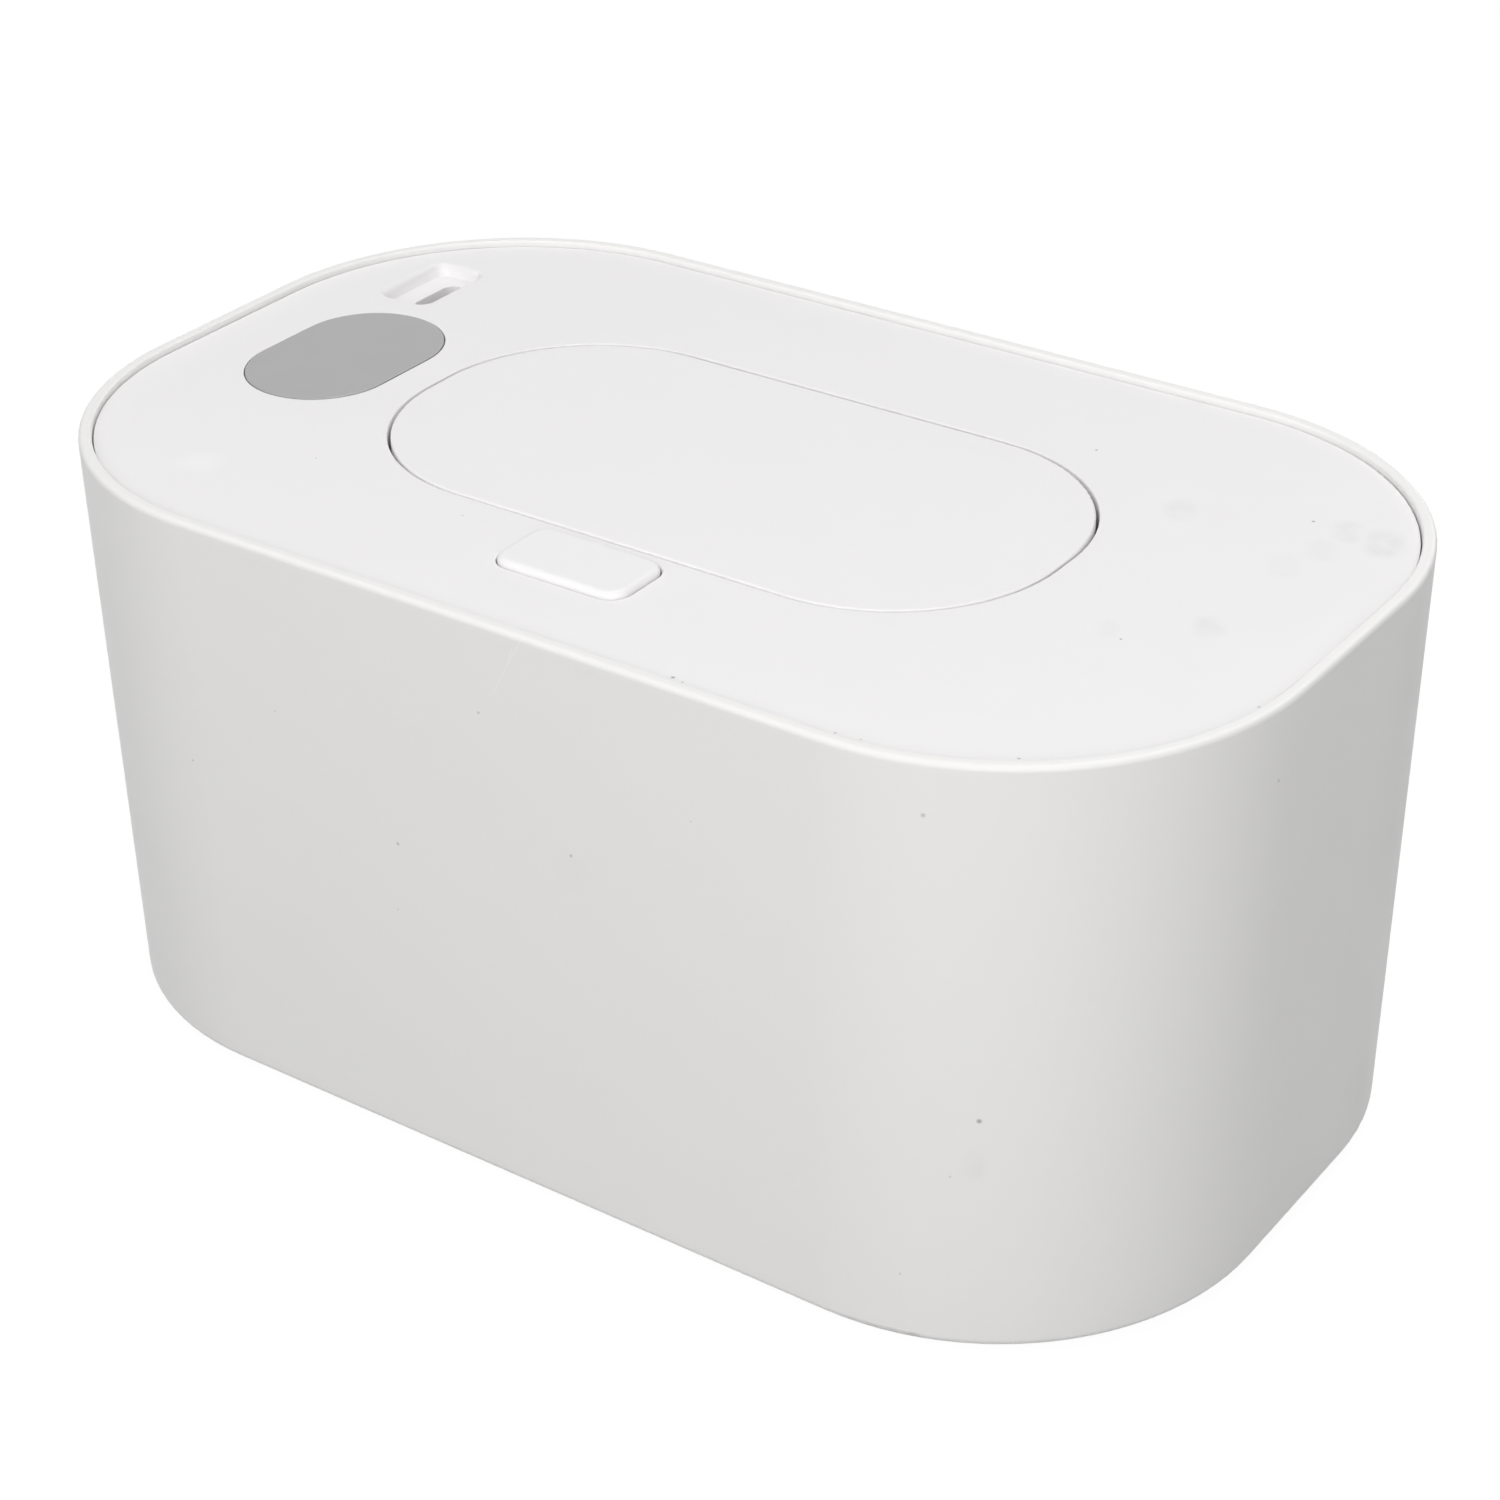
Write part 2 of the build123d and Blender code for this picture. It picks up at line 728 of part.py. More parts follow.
def heater_leads():
    return group([lead(lead_route(lead_port_x, side * heater_lead_spread, pad_under), heater_lead_radius)
                  for side in (-1, 1)])


def sensor_leads():
    z = pad_under + 2 * sensor_radius + 2 * part_gap
    return group([lead(lead_route(sensor_x(), side * sensor_radius, z), sensor_lead_radius)
                  for side in (-1, 1)])


def lid_screws():
    return group([screw(x, y, frame_under, lid_screw_shank, lid_screw_bite)
                  for x, y in lid_screw_places()])


def heater_screws():
    bite = heater_thickness + film_thickness + pad_thickness
    return group([screw(x, y, heater_under, small_screw_shank, bite) for x, y in heater_screw_places()])


# ---- Electronics
def control_board():
    outline = Pos(window_x, board_y) * RectangleRounded(board_width, board_length, board_corner)
    outline &= rounded(skirt_inset + skirt_wall + board_edge_gap)
    board = prism(outline, board_under, board_top)
    for x, y in board_screw_places():
        board -= post(x, y, small_screw_shank + clearance_gap, board_under, board_top)
    return board


def board_screws():
    bite = board_thickness + small_screw_bite - short_of_pilot
    return group([screw(x, y, board_under, small_screw_shank, bite) for x, y in board_screw_places()])


def digit_display():
    body = Rectangle(display_width, display_length)
    return prism(Pos(window_x, display_y) * body, board_top, panel_under - display_gap)


def touch_spring():
    return coil(window_x, touch_y, board_top, panel_under, touch_spring_radius, touch_spring_pitch)


def board_components():
    """Controller, power chip, choke, capacitor and buzzer, standing on the board."""
    def chip(x, y, width, depth, height):
        return block(window_x + x - width / 2, window_x + x + width / 2, display_y + y - depth / 2,
                     display_y + y + depth / 2, board_top, board_top + height)

    def can(from_y, x, y, radius, height):
        return post(window_x + x, from_y + y, radius, board_top, board_top + height)

    cans = [can(display_y, *choke), can(touch_y, *capacitor), can(touch_y, *buzzer)]
    return group([chip(*sizes) for sizes in chips] + cans)


def socket_shell():
    shell = prism(socket_outline(), board_top, socket_top)
    bore = prism(socket_outline(-socket_wall), board_top + socket_base, socket_top)
    return shell - bore


def socket_core():
    base = prism(socket_outline(-socket_wall - part_gap), board_top + socket_base,
                 board_top + 2 * socket_base)
    tongue = Pos(socket_x, pocket_y) * Rectangle(tongue_thickness, tongue_length)
    return base + prism(tongue, board_top + socket_base, socket_top - tongue_drop)


# ---- Mouth
def mouth_insert():
    recess = well_floor - flange_recess
    bead_top = well_under
    membrane_top = recess + membrane_thickness
    dish = SlotOverall(flange_length - 2 * dish_land, flange_width - 2 * dish_land)
    insert = prism(SlotOverall(flange_length, flange_width), recess, flange_top)
    insert += prism(SlotOverall(hole_length - 2 * neck_fit, hole_width - 2 * neck_fit), bead_top, recess)
    insert += prism(SlotOverall(hole_length + 2 * bead_lip, hole_width + 2 * bead_lip),
                    bead_top - bead_height, bead_top)
    insert -= prism(dish, membrane_top, flange_top)
    insert -= prism(dish, bead_top - bead_height, recess)
    insert -= prism(SlotOverall(slot_length, slot_width), recess, membrane_top)
    straight = (slot_length - slot_width) / 2
    for x in (-straight, 0, straight):
        slit = Rectangle(slit_width, slot_width + 2 * slit_length)
        insert -= prism(Pos(x, 0) * slit, recess, membrane_top)
    return insert


# ---- Flip lid
def swing_cut():
    """What the opening's rear edge sweeps through, seen from the flip lid as it opens."""
    def reach(turn):
        edge_y = arc_y + opening_radius * cos(turn)
        return hypot(axis_y - edge_y, hinge_drop) + swing_clearance

    def profile_point(turn):
        return arc_x + opening_radius * sin(turn), axis_y - reach(turn), axis_z

    turns = [radians(step * swing_step) for step in range(swing_steps + 1)]
    curve = Spline(*[profile_point(turn) for turn in turns], tangents=[(1, 0, 0), (1, -1, 0)])
    start, end = curve @ 0, curve @ 1
    outline = Polyline(end, (end.X, axis_y, axis_z), (0, axis_y, axis_z), (0, start.Y, axis_z), start)
    face = make_face(outline + curve)
    return both_sides(revolve(face, axis=Axis((0, axis_y, axis_z), (1, 0, 0))))


def rear_limit(play=0.0):
    """Everything in front of the flip lid's solid rear bar."""
    back = rear_edge - rear_bar - play
    return block(-case_length, case_length, -case_width, back, cover_under, panel_top)


def hinge_arm():
    """Gooseneck from the flip lid's rear bar, under the panel's edge, to the pin."""
    front = rear_edge - rear_bar
    back = axis_y + eye_radius - arm_clearance
    span = (arm_inner_x, arm_outer_x)
    arm = block(*span, front, front + cover_wall, arm_under, cover_under + liner_thickness)
    arm += block(*span, front, back, arm_under, arm_top)
    arm += block(*span, 2 * axis_y - back, back, arm_under, axis_z)
    return arm + rod(*span, eye_radius)


def flip_cover():
    liner_top = cover_under + liner_thickness
    cover = round_top(prism(cover_outline(), cover_under, panel_top), cover_round) - swing_cut()
    lower = prism(cover_outline(cover_wall), cover_under, liner_top)
    upper = prism(cover_outline(cover_wall + cover_step), liner_top, panel_top - cover_skin)
    cover -= (lower + upper) & rear_limit()
    cover += both_sides(hinge_arm())
    cover -= both_sides(rod(arm_inner_x, arm_outer_x, pin_radius + pin_press))
    stem_front = nose_tip + tooth_clearance + tooth_lip
    lip_top = nose_under - nose_gap
    lip_under = well_floor + tooth_drop_gap
    half = tooth_half_width
    cover += block(-half, half, stem_front, stem_front + tooth_stem, lip_under, panel_top - cover_skin)
    lip = [(stem_front, lip_top), (stem_front - tooth_lip, lip_top),
           (stem_front - tooth_lip, (lip_top + lip_under) / 2), (stem_front, lip_under)]
    return cover + profile_along_x(lip, -half, half)


def seal_ring(grow, bottom, top):
    """The seal's ring, grown on each side."""
    half = seal_section / 2 + grow
    outer = SlotOverall(seal_length + 2 * half, seal_width + 2 * half)
    inner = SlotOverall(seal_length - 2 * half, seal_width - 2 * half)
    return prism(outer - inner, bottom, top)


def flip_liner():
    top = cover_under + liner_thickness
    liner = prism(cover_outline(cover_wall + liner_fit), cover_under, top) & rear_limit(liner_fit)
    half = tooth_half_width + liner_fit
    tooth_back = nose_tip + tooth_clearance + tooth_lip + tooth_stem + liner_fit
    liner -= block(-half, half, -case_width, tooth_back, cover_under, top)
    return liner - seal_ring(liner_fit, cover_under, cover_under + seal_groove)


def flip_seal():
    return seal_ring(0, flange_top + seal_gap, cover_under + seal_groove)


def hinge_pins():
    pin = rod(pin_inner + pin_running, pin_outer - pin_running, pin_radius)
    pin = chamfer(pin.edges(), pin_radius / 4)
    return group([pin, mirror(pin, about=Plane.YZ)])


def hinge_springs():
    """Torsion springs beside the arms: one leg under the flip lid, one down to the well's floor."""
    slope = radians(hinge_leg_slope)
    centre = (arm_outer_x + 2 * spring_wire, axis_y, axis_z)
    axis = Plane(origin=centre, x_dir=(0, sin(slope), -cos(slope)), z_dir=(1, 0, 0))
    turns = hinge_spring_turns + (270 - hinge_leg_slope) / 360
    helix = Helix(pitch=hinge_spring_pitch, height=hinge_spring_pitch * turns, radius=hinge_spring_radius)
    start, end = helix @ 0, helix @ 1
    under_lid = start - (helix % 0) * hinge_leg
    on_floor = end + (helix % 1) * (axis_z - well_floor - spring_wire)
    path = Line(under_lid, start) + helix + Line(end, on_floor)
    wire = sweep(Plane(under_lid, z_dir=helix % 0) * Circle(spring_wire / 2), path=path)
    spring = axis.location * wire
    return group([spring, mirror(spring, about=Plane.YZ)])


# ---- Release button and latch
def button_cap():
    cap = round_top(prism(button_outline(), button_under, button_top), button_round)
    cap -= prism(button_outline(-button_wall), button_under, button_top - button_skin)
    flange_top_z = panel_under - button_flange_gap
    side = button_length / 2
    flange = block(side - button_wall / 2, side + button_flange, button_y - button_flange_length / 2,
                   button_y + button_flange_length / 2, flange_top_z - button_flange_height, flange_top_z)
    cap += both_sides(flange)
    back = button_y + button_width / 2 - button_wall
    front = riser_front - rib_lead
    crest = riser_front + slider_under + wedge_height + ramp_gap     # the ramp is where y + z is this
    roof = button_top - button_skin
    rib = [(front, roof), (front, crest - front), (back, crest - back), (back, roof)]
    return cap + both_sides(profile_along_x(rib, ramp_inner_x, ramp_outer_x))


def latch_slider():
    wedge_top = slider_under + wedge_height
    wedge = [(wedge_front, slider_under), (wedge_front, wedge_top), (riser_front, wedge_top),
             (riser_back, wedge_top - (riser_back - riser_front)), (riser_back, slider_under)]
    slider = both_sides(profile_along_x(wedge, ramp_inner_x, ramp_outer_x))
    beam = housing_inner - slider_gap
    slider += block(-beam, beam, riser_front, riser_back, slider_under, slider_top)
    half = tongue_half_width
    slider += block(-half, half, tongue_front, riser_back, slider_under, slider_top)
    slider += block(-half, half, tongue_front, tongue_front + tongue_pad_thickness, slider_under,
                    slider_under + tongue_pad)
    slider += block(-nose_half_width, nose_half_width, riser_front, riser_back, slider_under, nose_top)
    nose = [(riser_back, nose_under), (riser_back, nose_top), (nose_tip - nose_bevel, nose_top),
            (nose_tip, nose_top - nose_bevel), (nose_tip, nose_under)]
    return slider + profile_along_x(nose, -nose_half_width, nose_half_width)


def latch_housing():
    half = housing_half_width
    tray = block(-half, half, housing_front, housing_back, housing_under, panel_under)
    tray -= block(-housing_inner, housing_inner, housing_front + housing_wall, housing_back, housing_top,
                  panel_under)
    ear = block(housing_inner, half + ear_length, ear_y - ear_length / 2, ear_y + ear_length / 2,
                ear_top - ear_thickness, ear_top)
    ear -= post(ear_x, ear_y, small_screw_shank + clearance_gap, ear_top - ear_thickness, ear_top)
    inside = block(housing_inner, housing_inner + housing_wall / 2, ear_y - ear_length / 2,
                   ear_y + ear_length / 2, ear_top - ear_thickness, ear_top)
    tray += both_sides(ear - (inside & tray))
    face = housing_front + housing_wall
    peg = Pos(0, face + peg_length / 2, latch_spring_z) * Rot(90, 0, 0) * Cylinder(peg_radius, peg_length)
    return tray + peg


def latch_screws():
    bite = ear_thickness + small_screw_bite - short_of_pilot
    seat = ear_top - ear_thickness
    return group([screw(x, y, seat, small_screw_shank, bite) for x, y in latch_screw_places()])


def button_springs():
    y = button_y - button_spring_back
    roof = button_top - button_skin
    return group([coil(side * button_spring_x, y, housing_top, roof, button_spring_radius,
                       button_spring_pitch) for side in (-1, 1)])


def latch_spring():
    face = housing_front + housing_wall
    spring = coil(0, 0, 0, tongue_front - face, latch_spring_radius, latch_spring_pitch)
    return Pos(0, face, latch_spring_z) * Rot(-90, 0, 0) * spring


PIECES = [
    case_shell, rubber_feet, top_panel, lid_gasket, display_window, lid_frame, heater_plate, heater_film,
    insulation_pad, thermal_fuse, temperature_sensor, heater_leads, sensor_leads, lid_screws,
    heater_screws, control_board, board_screws, digit_display, touch_spring, board_components,
    socket_shell, socket_core, mouth_insert, flip_cover, flip_liner, flip_seal, hinge_pins,
    hinge_springs, button_cap, latch_slider, latch_housing, latch_screws, button_springs, latch_spring,
]

os.makedirs("parts", exist_ok=True)
for piece in PIECES:
    export_step(piece(), f"parts/{piece.__name__}.step")
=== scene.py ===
"""Finishes, studio light, floor and camera for a baby wipe warmer.

Metres throughout. +X runs along the length, -Y is the front with the release button, +Z is up.
"""

from __future__ import annotations

import json
import logging
import math
from dataclasses import dataclass, field
from enum import Enum
from typing import Iterable, Sequence

import bmesh
import bpy
from mathutils import Matrix, Vector

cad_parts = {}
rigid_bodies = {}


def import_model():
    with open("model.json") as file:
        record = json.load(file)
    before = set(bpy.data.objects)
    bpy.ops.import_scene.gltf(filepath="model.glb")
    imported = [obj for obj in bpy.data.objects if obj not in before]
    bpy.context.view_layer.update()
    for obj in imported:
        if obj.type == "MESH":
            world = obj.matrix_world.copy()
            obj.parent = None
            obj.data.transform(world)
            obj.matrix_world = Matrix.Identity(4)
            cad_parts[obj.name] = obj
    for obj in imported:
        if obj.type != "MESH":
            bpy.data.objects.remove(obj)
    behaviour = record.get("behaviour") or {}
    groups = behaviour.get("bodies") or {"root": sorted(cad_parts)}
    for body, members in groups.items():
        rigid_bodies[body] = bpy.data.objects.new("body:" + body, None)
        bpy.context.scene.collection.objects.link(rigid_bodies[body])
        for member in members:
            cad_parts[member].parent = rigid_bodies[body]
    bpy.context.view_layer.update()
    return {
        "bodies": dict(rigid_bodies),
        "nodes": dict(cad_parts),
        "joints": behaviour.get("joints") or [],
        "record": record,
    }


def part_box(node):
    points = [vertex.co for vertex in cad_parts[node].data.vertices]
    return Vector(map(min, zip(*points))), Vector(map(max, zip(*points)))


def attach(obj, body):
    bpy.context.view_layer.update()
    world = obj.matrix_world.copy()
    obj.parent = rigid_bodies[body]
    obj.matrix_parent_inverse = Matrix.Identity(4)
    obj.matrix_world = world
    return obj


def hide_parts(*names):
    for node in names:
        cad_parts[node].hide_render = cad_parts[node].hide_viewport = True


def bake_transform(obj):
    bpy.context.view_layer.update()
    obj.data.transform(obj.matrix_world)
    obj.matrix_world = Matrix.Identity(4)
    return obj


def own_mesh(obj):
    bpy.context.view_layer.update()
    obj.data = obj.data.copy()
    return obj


LOG = logging.getLogger("wipe_warmer")
MM = 0.001
WELD = 1e-7                     # corners this close are one
FADE_START = 0.2                # share of a mark's radius that is at full strength
BEVEL_SAMPLES = 4
EDGE_TURN = (0.80, 0.995)       # cosine of the turn on a sharp edge, and on nearly flat ground
NOISE_RANGE = (0.3, 0.7)        # where most of a noise's values lie

Colour = tuple[float, float, float]
Point = tuple[float, float, float]
Socket = bpy.types.NodeSocket


# ---------------------------------------------------------------- node charts
class Chart:
    """A material's node tree, with one short method for each kind of step that the finishes use."""

    def __init__(self, name: str) -> None:
        """Starts an empty material.

        Args:
            name: the material's name.
        """
        self.material = bpy.data.materials.new(name)
        self.material.use_nodes = True
        self.tree = self.material.node_tree
        self.tree.nodes.clear()

    def node(self, kind: str, **settings: object) -> bpy.types.Node:
        """Adds a node.

        Args:
            kind: the node's type, such as ShaderNodeMath.
            settings: attributes to set on it.

        Returns:
            The new node.
        """
        made = self.tree.nodes.new(kind)
        for key, value in settings.items():
            setattr(made, key, value)
        return made

    def feed(self, socket: Socket, value: Socket | float | Sequence[float]) -> None:
        """Links a socket to another, or sets its constant.

        Args:
            socket: the input.
            value: an output to link, or the constant.
        """
        if isinstance(value, bpy.types.NodeSocket):
            self.tree.links.new(value, socket)
        else:
            socket.default_value = value

    def place(self, scale: Point = (1.0, 1.0, 1.0)) -> Socket:
        """Object coordinates, stretched along each axis.

        Args:
            scale: the factor along X, Y and Z.

        Returns:
            The coordinate's socket.
        """
        coordinates = self.node("ShaderNodeTexCoord").outputs["Object"]
        if scale == (1.0, 1.0, 1.0):
            return coordinates
        mapping = self.node("ShaderNodeMapping")
        mapping.inputs["Scale"].default_value = scale
        self.feed(mapping.inputs["Vector"], coordinates)
        return mapping.outputs["Vector"]

    def noise(self, size: float, detail: float = 2.0, rough: float = 0.5,
              stretch: Point = (1.0, 1.0, 1.0)) -> Socket:
        """Noise whose patches are about one size.

        Args:
            size: a patch's size.
            detail: octaves.
            rough: how strong the finer octaves are.
            stretch: the factor along each axis, so that under 1 draws the patches out.

        Returns:
            The noise's value, from 0 to 1.
        """
        made = self.node("ShaderNodeTexNoise")
        made.inputs["Scale"].default_value = 1.0 / size
        made.inputs["Detail"].default_value = detail
        made.inputs["Roughness"].default_value = rough
        self.feed(made.inputs["Vector"], self.place(stretch))
        return made.outputs["Fac"]

    def maths(self, kind: str, a: Socket | float, b: Socket | float = 0.0, clamp: bool = False) -> Socket:
        """One step of arithmetic.

        Args:
            kind: the operation, such as MULTIPLY.
            a: its first value.
            b: its second value.
            clamp: keep the result from 0 to 1.

        Returns:
            The result.
        """
        made = self.node("ShaderNodeMath", operation=kind, use_clamp=clamp)
        self.feed(made.inputs[0], a)
        self.feed(made.inputs[1], b)
        return made.outputs[0]

    def span(self, value: Socket, low: float, high: float, start: float, end: float) -> Socket:
        """Maps a range smoothly onto another.

        Args:
            value: what is mapped.
            low: the range's start.
            high: the range's end.
            start: what low becomes.
            end: what high becomes.

        Returns:
            The mapped value.
        """
        made = self.node("ShaderNodeMapRange", interpolation_type="SMOOTHSTEP")
        for socket, number in zip(made.inputs[1:5], (low, high, start, end)):
            socket.default_value = number
        self.feed(made.inputs[0], value)
        return made.outputs[0]

    def mix(self, share: Socket | float, a: Socket | Colour, b: Socket | Colour) -> Socket:
        """Mixes two colours.

        Args:
            share: how much of the second there is.
            a: the first colour.
            b: the second colour.

        Returns:
            The mixed colour.
        """
        made = self.node("ShaderNodeMix", data_type="RGBA")
        self.feed(made.inputs[0], share)
        for socket, colour in ((made.inputs[6], a), (made.inputs[7], b)):
            self.feed(socket, colour if isinstance(colour, bpy.types.NodeSocket) else (*colour, 1.0))
        return made.outputs[2]

    def fade(self, away: Socket, radius: float, strength: float) -> Socket:
        """Full strength at a mark's middle, and none beyond its radius.

        Args:
            away: the distance from the mark's middle.
            radius: where the mark ends.
            strength: its strength at the middle.

        Returns:
            The strength.
        """
        return self.span(away, FADE_START * radius, radius, strength, 0.0)

    def near(self, marks: Iterable[Mark]) -> Socket:
        """Soft round patches at chosen places.

        Args:
            marks: the patches.

        Returns:
            The strongest patch's strength.
        """
        total: Socket | float = 0.0
        for mark in marks:
            away = self.node("ShaderNodeVectorMath", operation="DISTANCE")
            self.feed(away.inputs[0], self.place())
            away.inputs[1].default_value = mark.centre
            total = self.maths("MAXIMUM", total, self.fade(away.outputs["Value"], mark.radius, mark.strength))
        return total

    def along(self, smear: Smear) -> Socket:
        """A soft line between two places.

        Args:
            smear: the line's ends, half-width and strength.

        Returns:
            The strength, 0 away from the line.
        """
        run = Vector(smear.end) - Vector(smear.start)
        offset = self.node("ShaderNodeVectorMath", operation="SUBTRACT")
        self.feed(offset.inputs[0], self.place())
        offset.inputs[1].default_value = smear.start
        share = self.node("ShaderNodeVectorMath", operation="DOT_PRODUCT")
        self.feed(share.inputs[0], offset.outputs["Vector"])
        share.inputs[1].default_value = run / run.length_squared
        foot = self.node("ShaderNodeVectorMath", operation="SCALE")
        foot.inputs[0].default_value = run
        self.feed(foot.inputs["Scale"], self.maths("ADD", share.outputs["Value"], 0.0, clamp=True))
        away = self.node("ShaderNodeVectorMath", operation="DISTANCE")
        self.feed(away.inputs[0], offset.outputs["Vector"])
        self.feed(away.inputs[1], foot.outputs["Vector"])
        return self.fade(away.outputs["Value"], smear.radius, smear.strength)

    def specks(self, spacing: float, radius: float, share: float) -> Socket:
        """Sparse dots strewn through space.

        Args:
            spacing: the size of the cells that may hold a dot.
            radius: a dot's radius, as a share of its cell.
            share: the share of the cells that hold one.

        Returns:
            1 in a dot and 0 elsewhere.
        """
        cells = self.node("ShaderNodeTexVoronoi")
        cells.inputs["Scale"].default_value = 1.0 / spacing
        self.feed(cells.inputs["Vector"], self.place())
        picked = self.node("ShaderNodeSeparateColor")
        self.feed(picked.inputs[0], cells.outputs["Color"])
        dot = self.maths("LESS_THAN", cells.outputs["Distance"], radius)
        return self.maths("MULTIPLY", dot, self.maths("LESS_THAN", picked.outputs[0], share))

    def edges(self, radius: float) -> Socket:
        """Where the surface turns sharply.

        Args:
            radius: how far from an edge still counts.

        Returns:
            0 on flat ground, up to 1 on an edge.
        """
        bevel = self.node("ShaderNodeBevel", samples=BEVEL_SAMPLES)
        bevel.inputs["Radius"].default_value = radius
        turn = self.node("ShaderNodeVectorMath", operation="DOT_PRODUCT")
        self.feed(turn.inputs[0], bevel.outputs["Normal"])
        self.feed(turn.inputs[1], self.node("ShaderNodeNewGeometry").outputs["Normal"])
        return self.span(turn.outputs["Value"], *EDGE_TURN, 1.0, 0.0)

    def bump(self, height: Socket, depth: float) -> Socket:
        """Relief from a height.

        Args:
            height: from 0 to 1.
            depth: the relief's full depth.

        Returns:
            The new normal.
        """
        made = self.node("ShaderNodeBump")
        made.inputs["Strength"].default_value = 1.0
        made.inputs["Distance"].default_value = depth
        self.feed(made.inputs["Height"], height)
        return made.outputs["Normal"]

    def clouded(self, share: Socket, colour: Colour, spread: float) -> Socket:
        """A colour that drifts a little darker and lighter.

        Args:
            share: where it is darker, near 0, and lighter, near 1.
            colour: the middle colour.
            spread: how far it drifts each way, as a share of itself.

        Returns:
            The drifting colour.
        """
        return self.mix(share, tint(colour, 1.0 - spread), tint(colour, 1.0 + spread))

    def uneven(self, value: Socket, middle: float, spread: float) -> Socket:
        """A roughness that varies evenly about its middle.

        Args:
            value: the noise that it follows.
            middle: the middle roughness.
            spread: how far it varies each way.

        Returns:
            The roughness.
        """
        return self.span(value, *NOISE_RANGE, middle - spread, middle + spread)

    def surface(self, colour: Socket | Colour, roughness: Socket | float, normal: Socket | None = None,
                **constants: float | Sequence[float]) -> bpy.types.Material:
        """Closes the chart with one shader.

        Args:
            colour: the base colour.
            roughness: the roughness.
            normal: the relief, if there is one.
            constants: values set on the shader's own sockets, with _ for a space.

        Returns:
            The finished material.
        """
        shader = self.node("ShaderNodeBsdfPrincipled")
        self.feed(shader.inputs["Base Color"],
                  colour if isinstance(colour, bpy.types.NodeSocket) else (*colour, 1.0))
        self.feed(shader.inputs["Roughness"], roughness)
        if normal is not None:
            self.feed(shader.inputs["Normal"], normal)
        for key, value in constants.items():
            shader.inputs[key.replace("_", " ")].default_value = value
        self.feed(self.node("ShaderNodeOutputMaterial").inputs["Surface"], shader.outputs[0])
        return self.material


def tint(colour: Colour, factor: float) -> Colour:
    """A colour made lighter or darker.

    Args:
        colour: the colour.
        factor: what each channel is multiplied by.

    Returns:
        The new colour, at most 1 in each channel.
    """
    return tuple(min(1.0, channel * factor) for channel in colour)


# ------------------------------------------------------------------- finishes
@dataclass(frozen=True)
class Mark:
    """A glossier patch, painted lighter as a painted highlight, or a speck of dirt that sits at one place of
    a surface.
    """

    centre: Point
    radius: float
    strength: float


@dataclass(frozen=True)
class Smear:
    """A soft line between two places of a surface: a faint smudge if it is wide, or a fine scratch."""

    start: Point
    end: Point
    radius: float
    strength: float


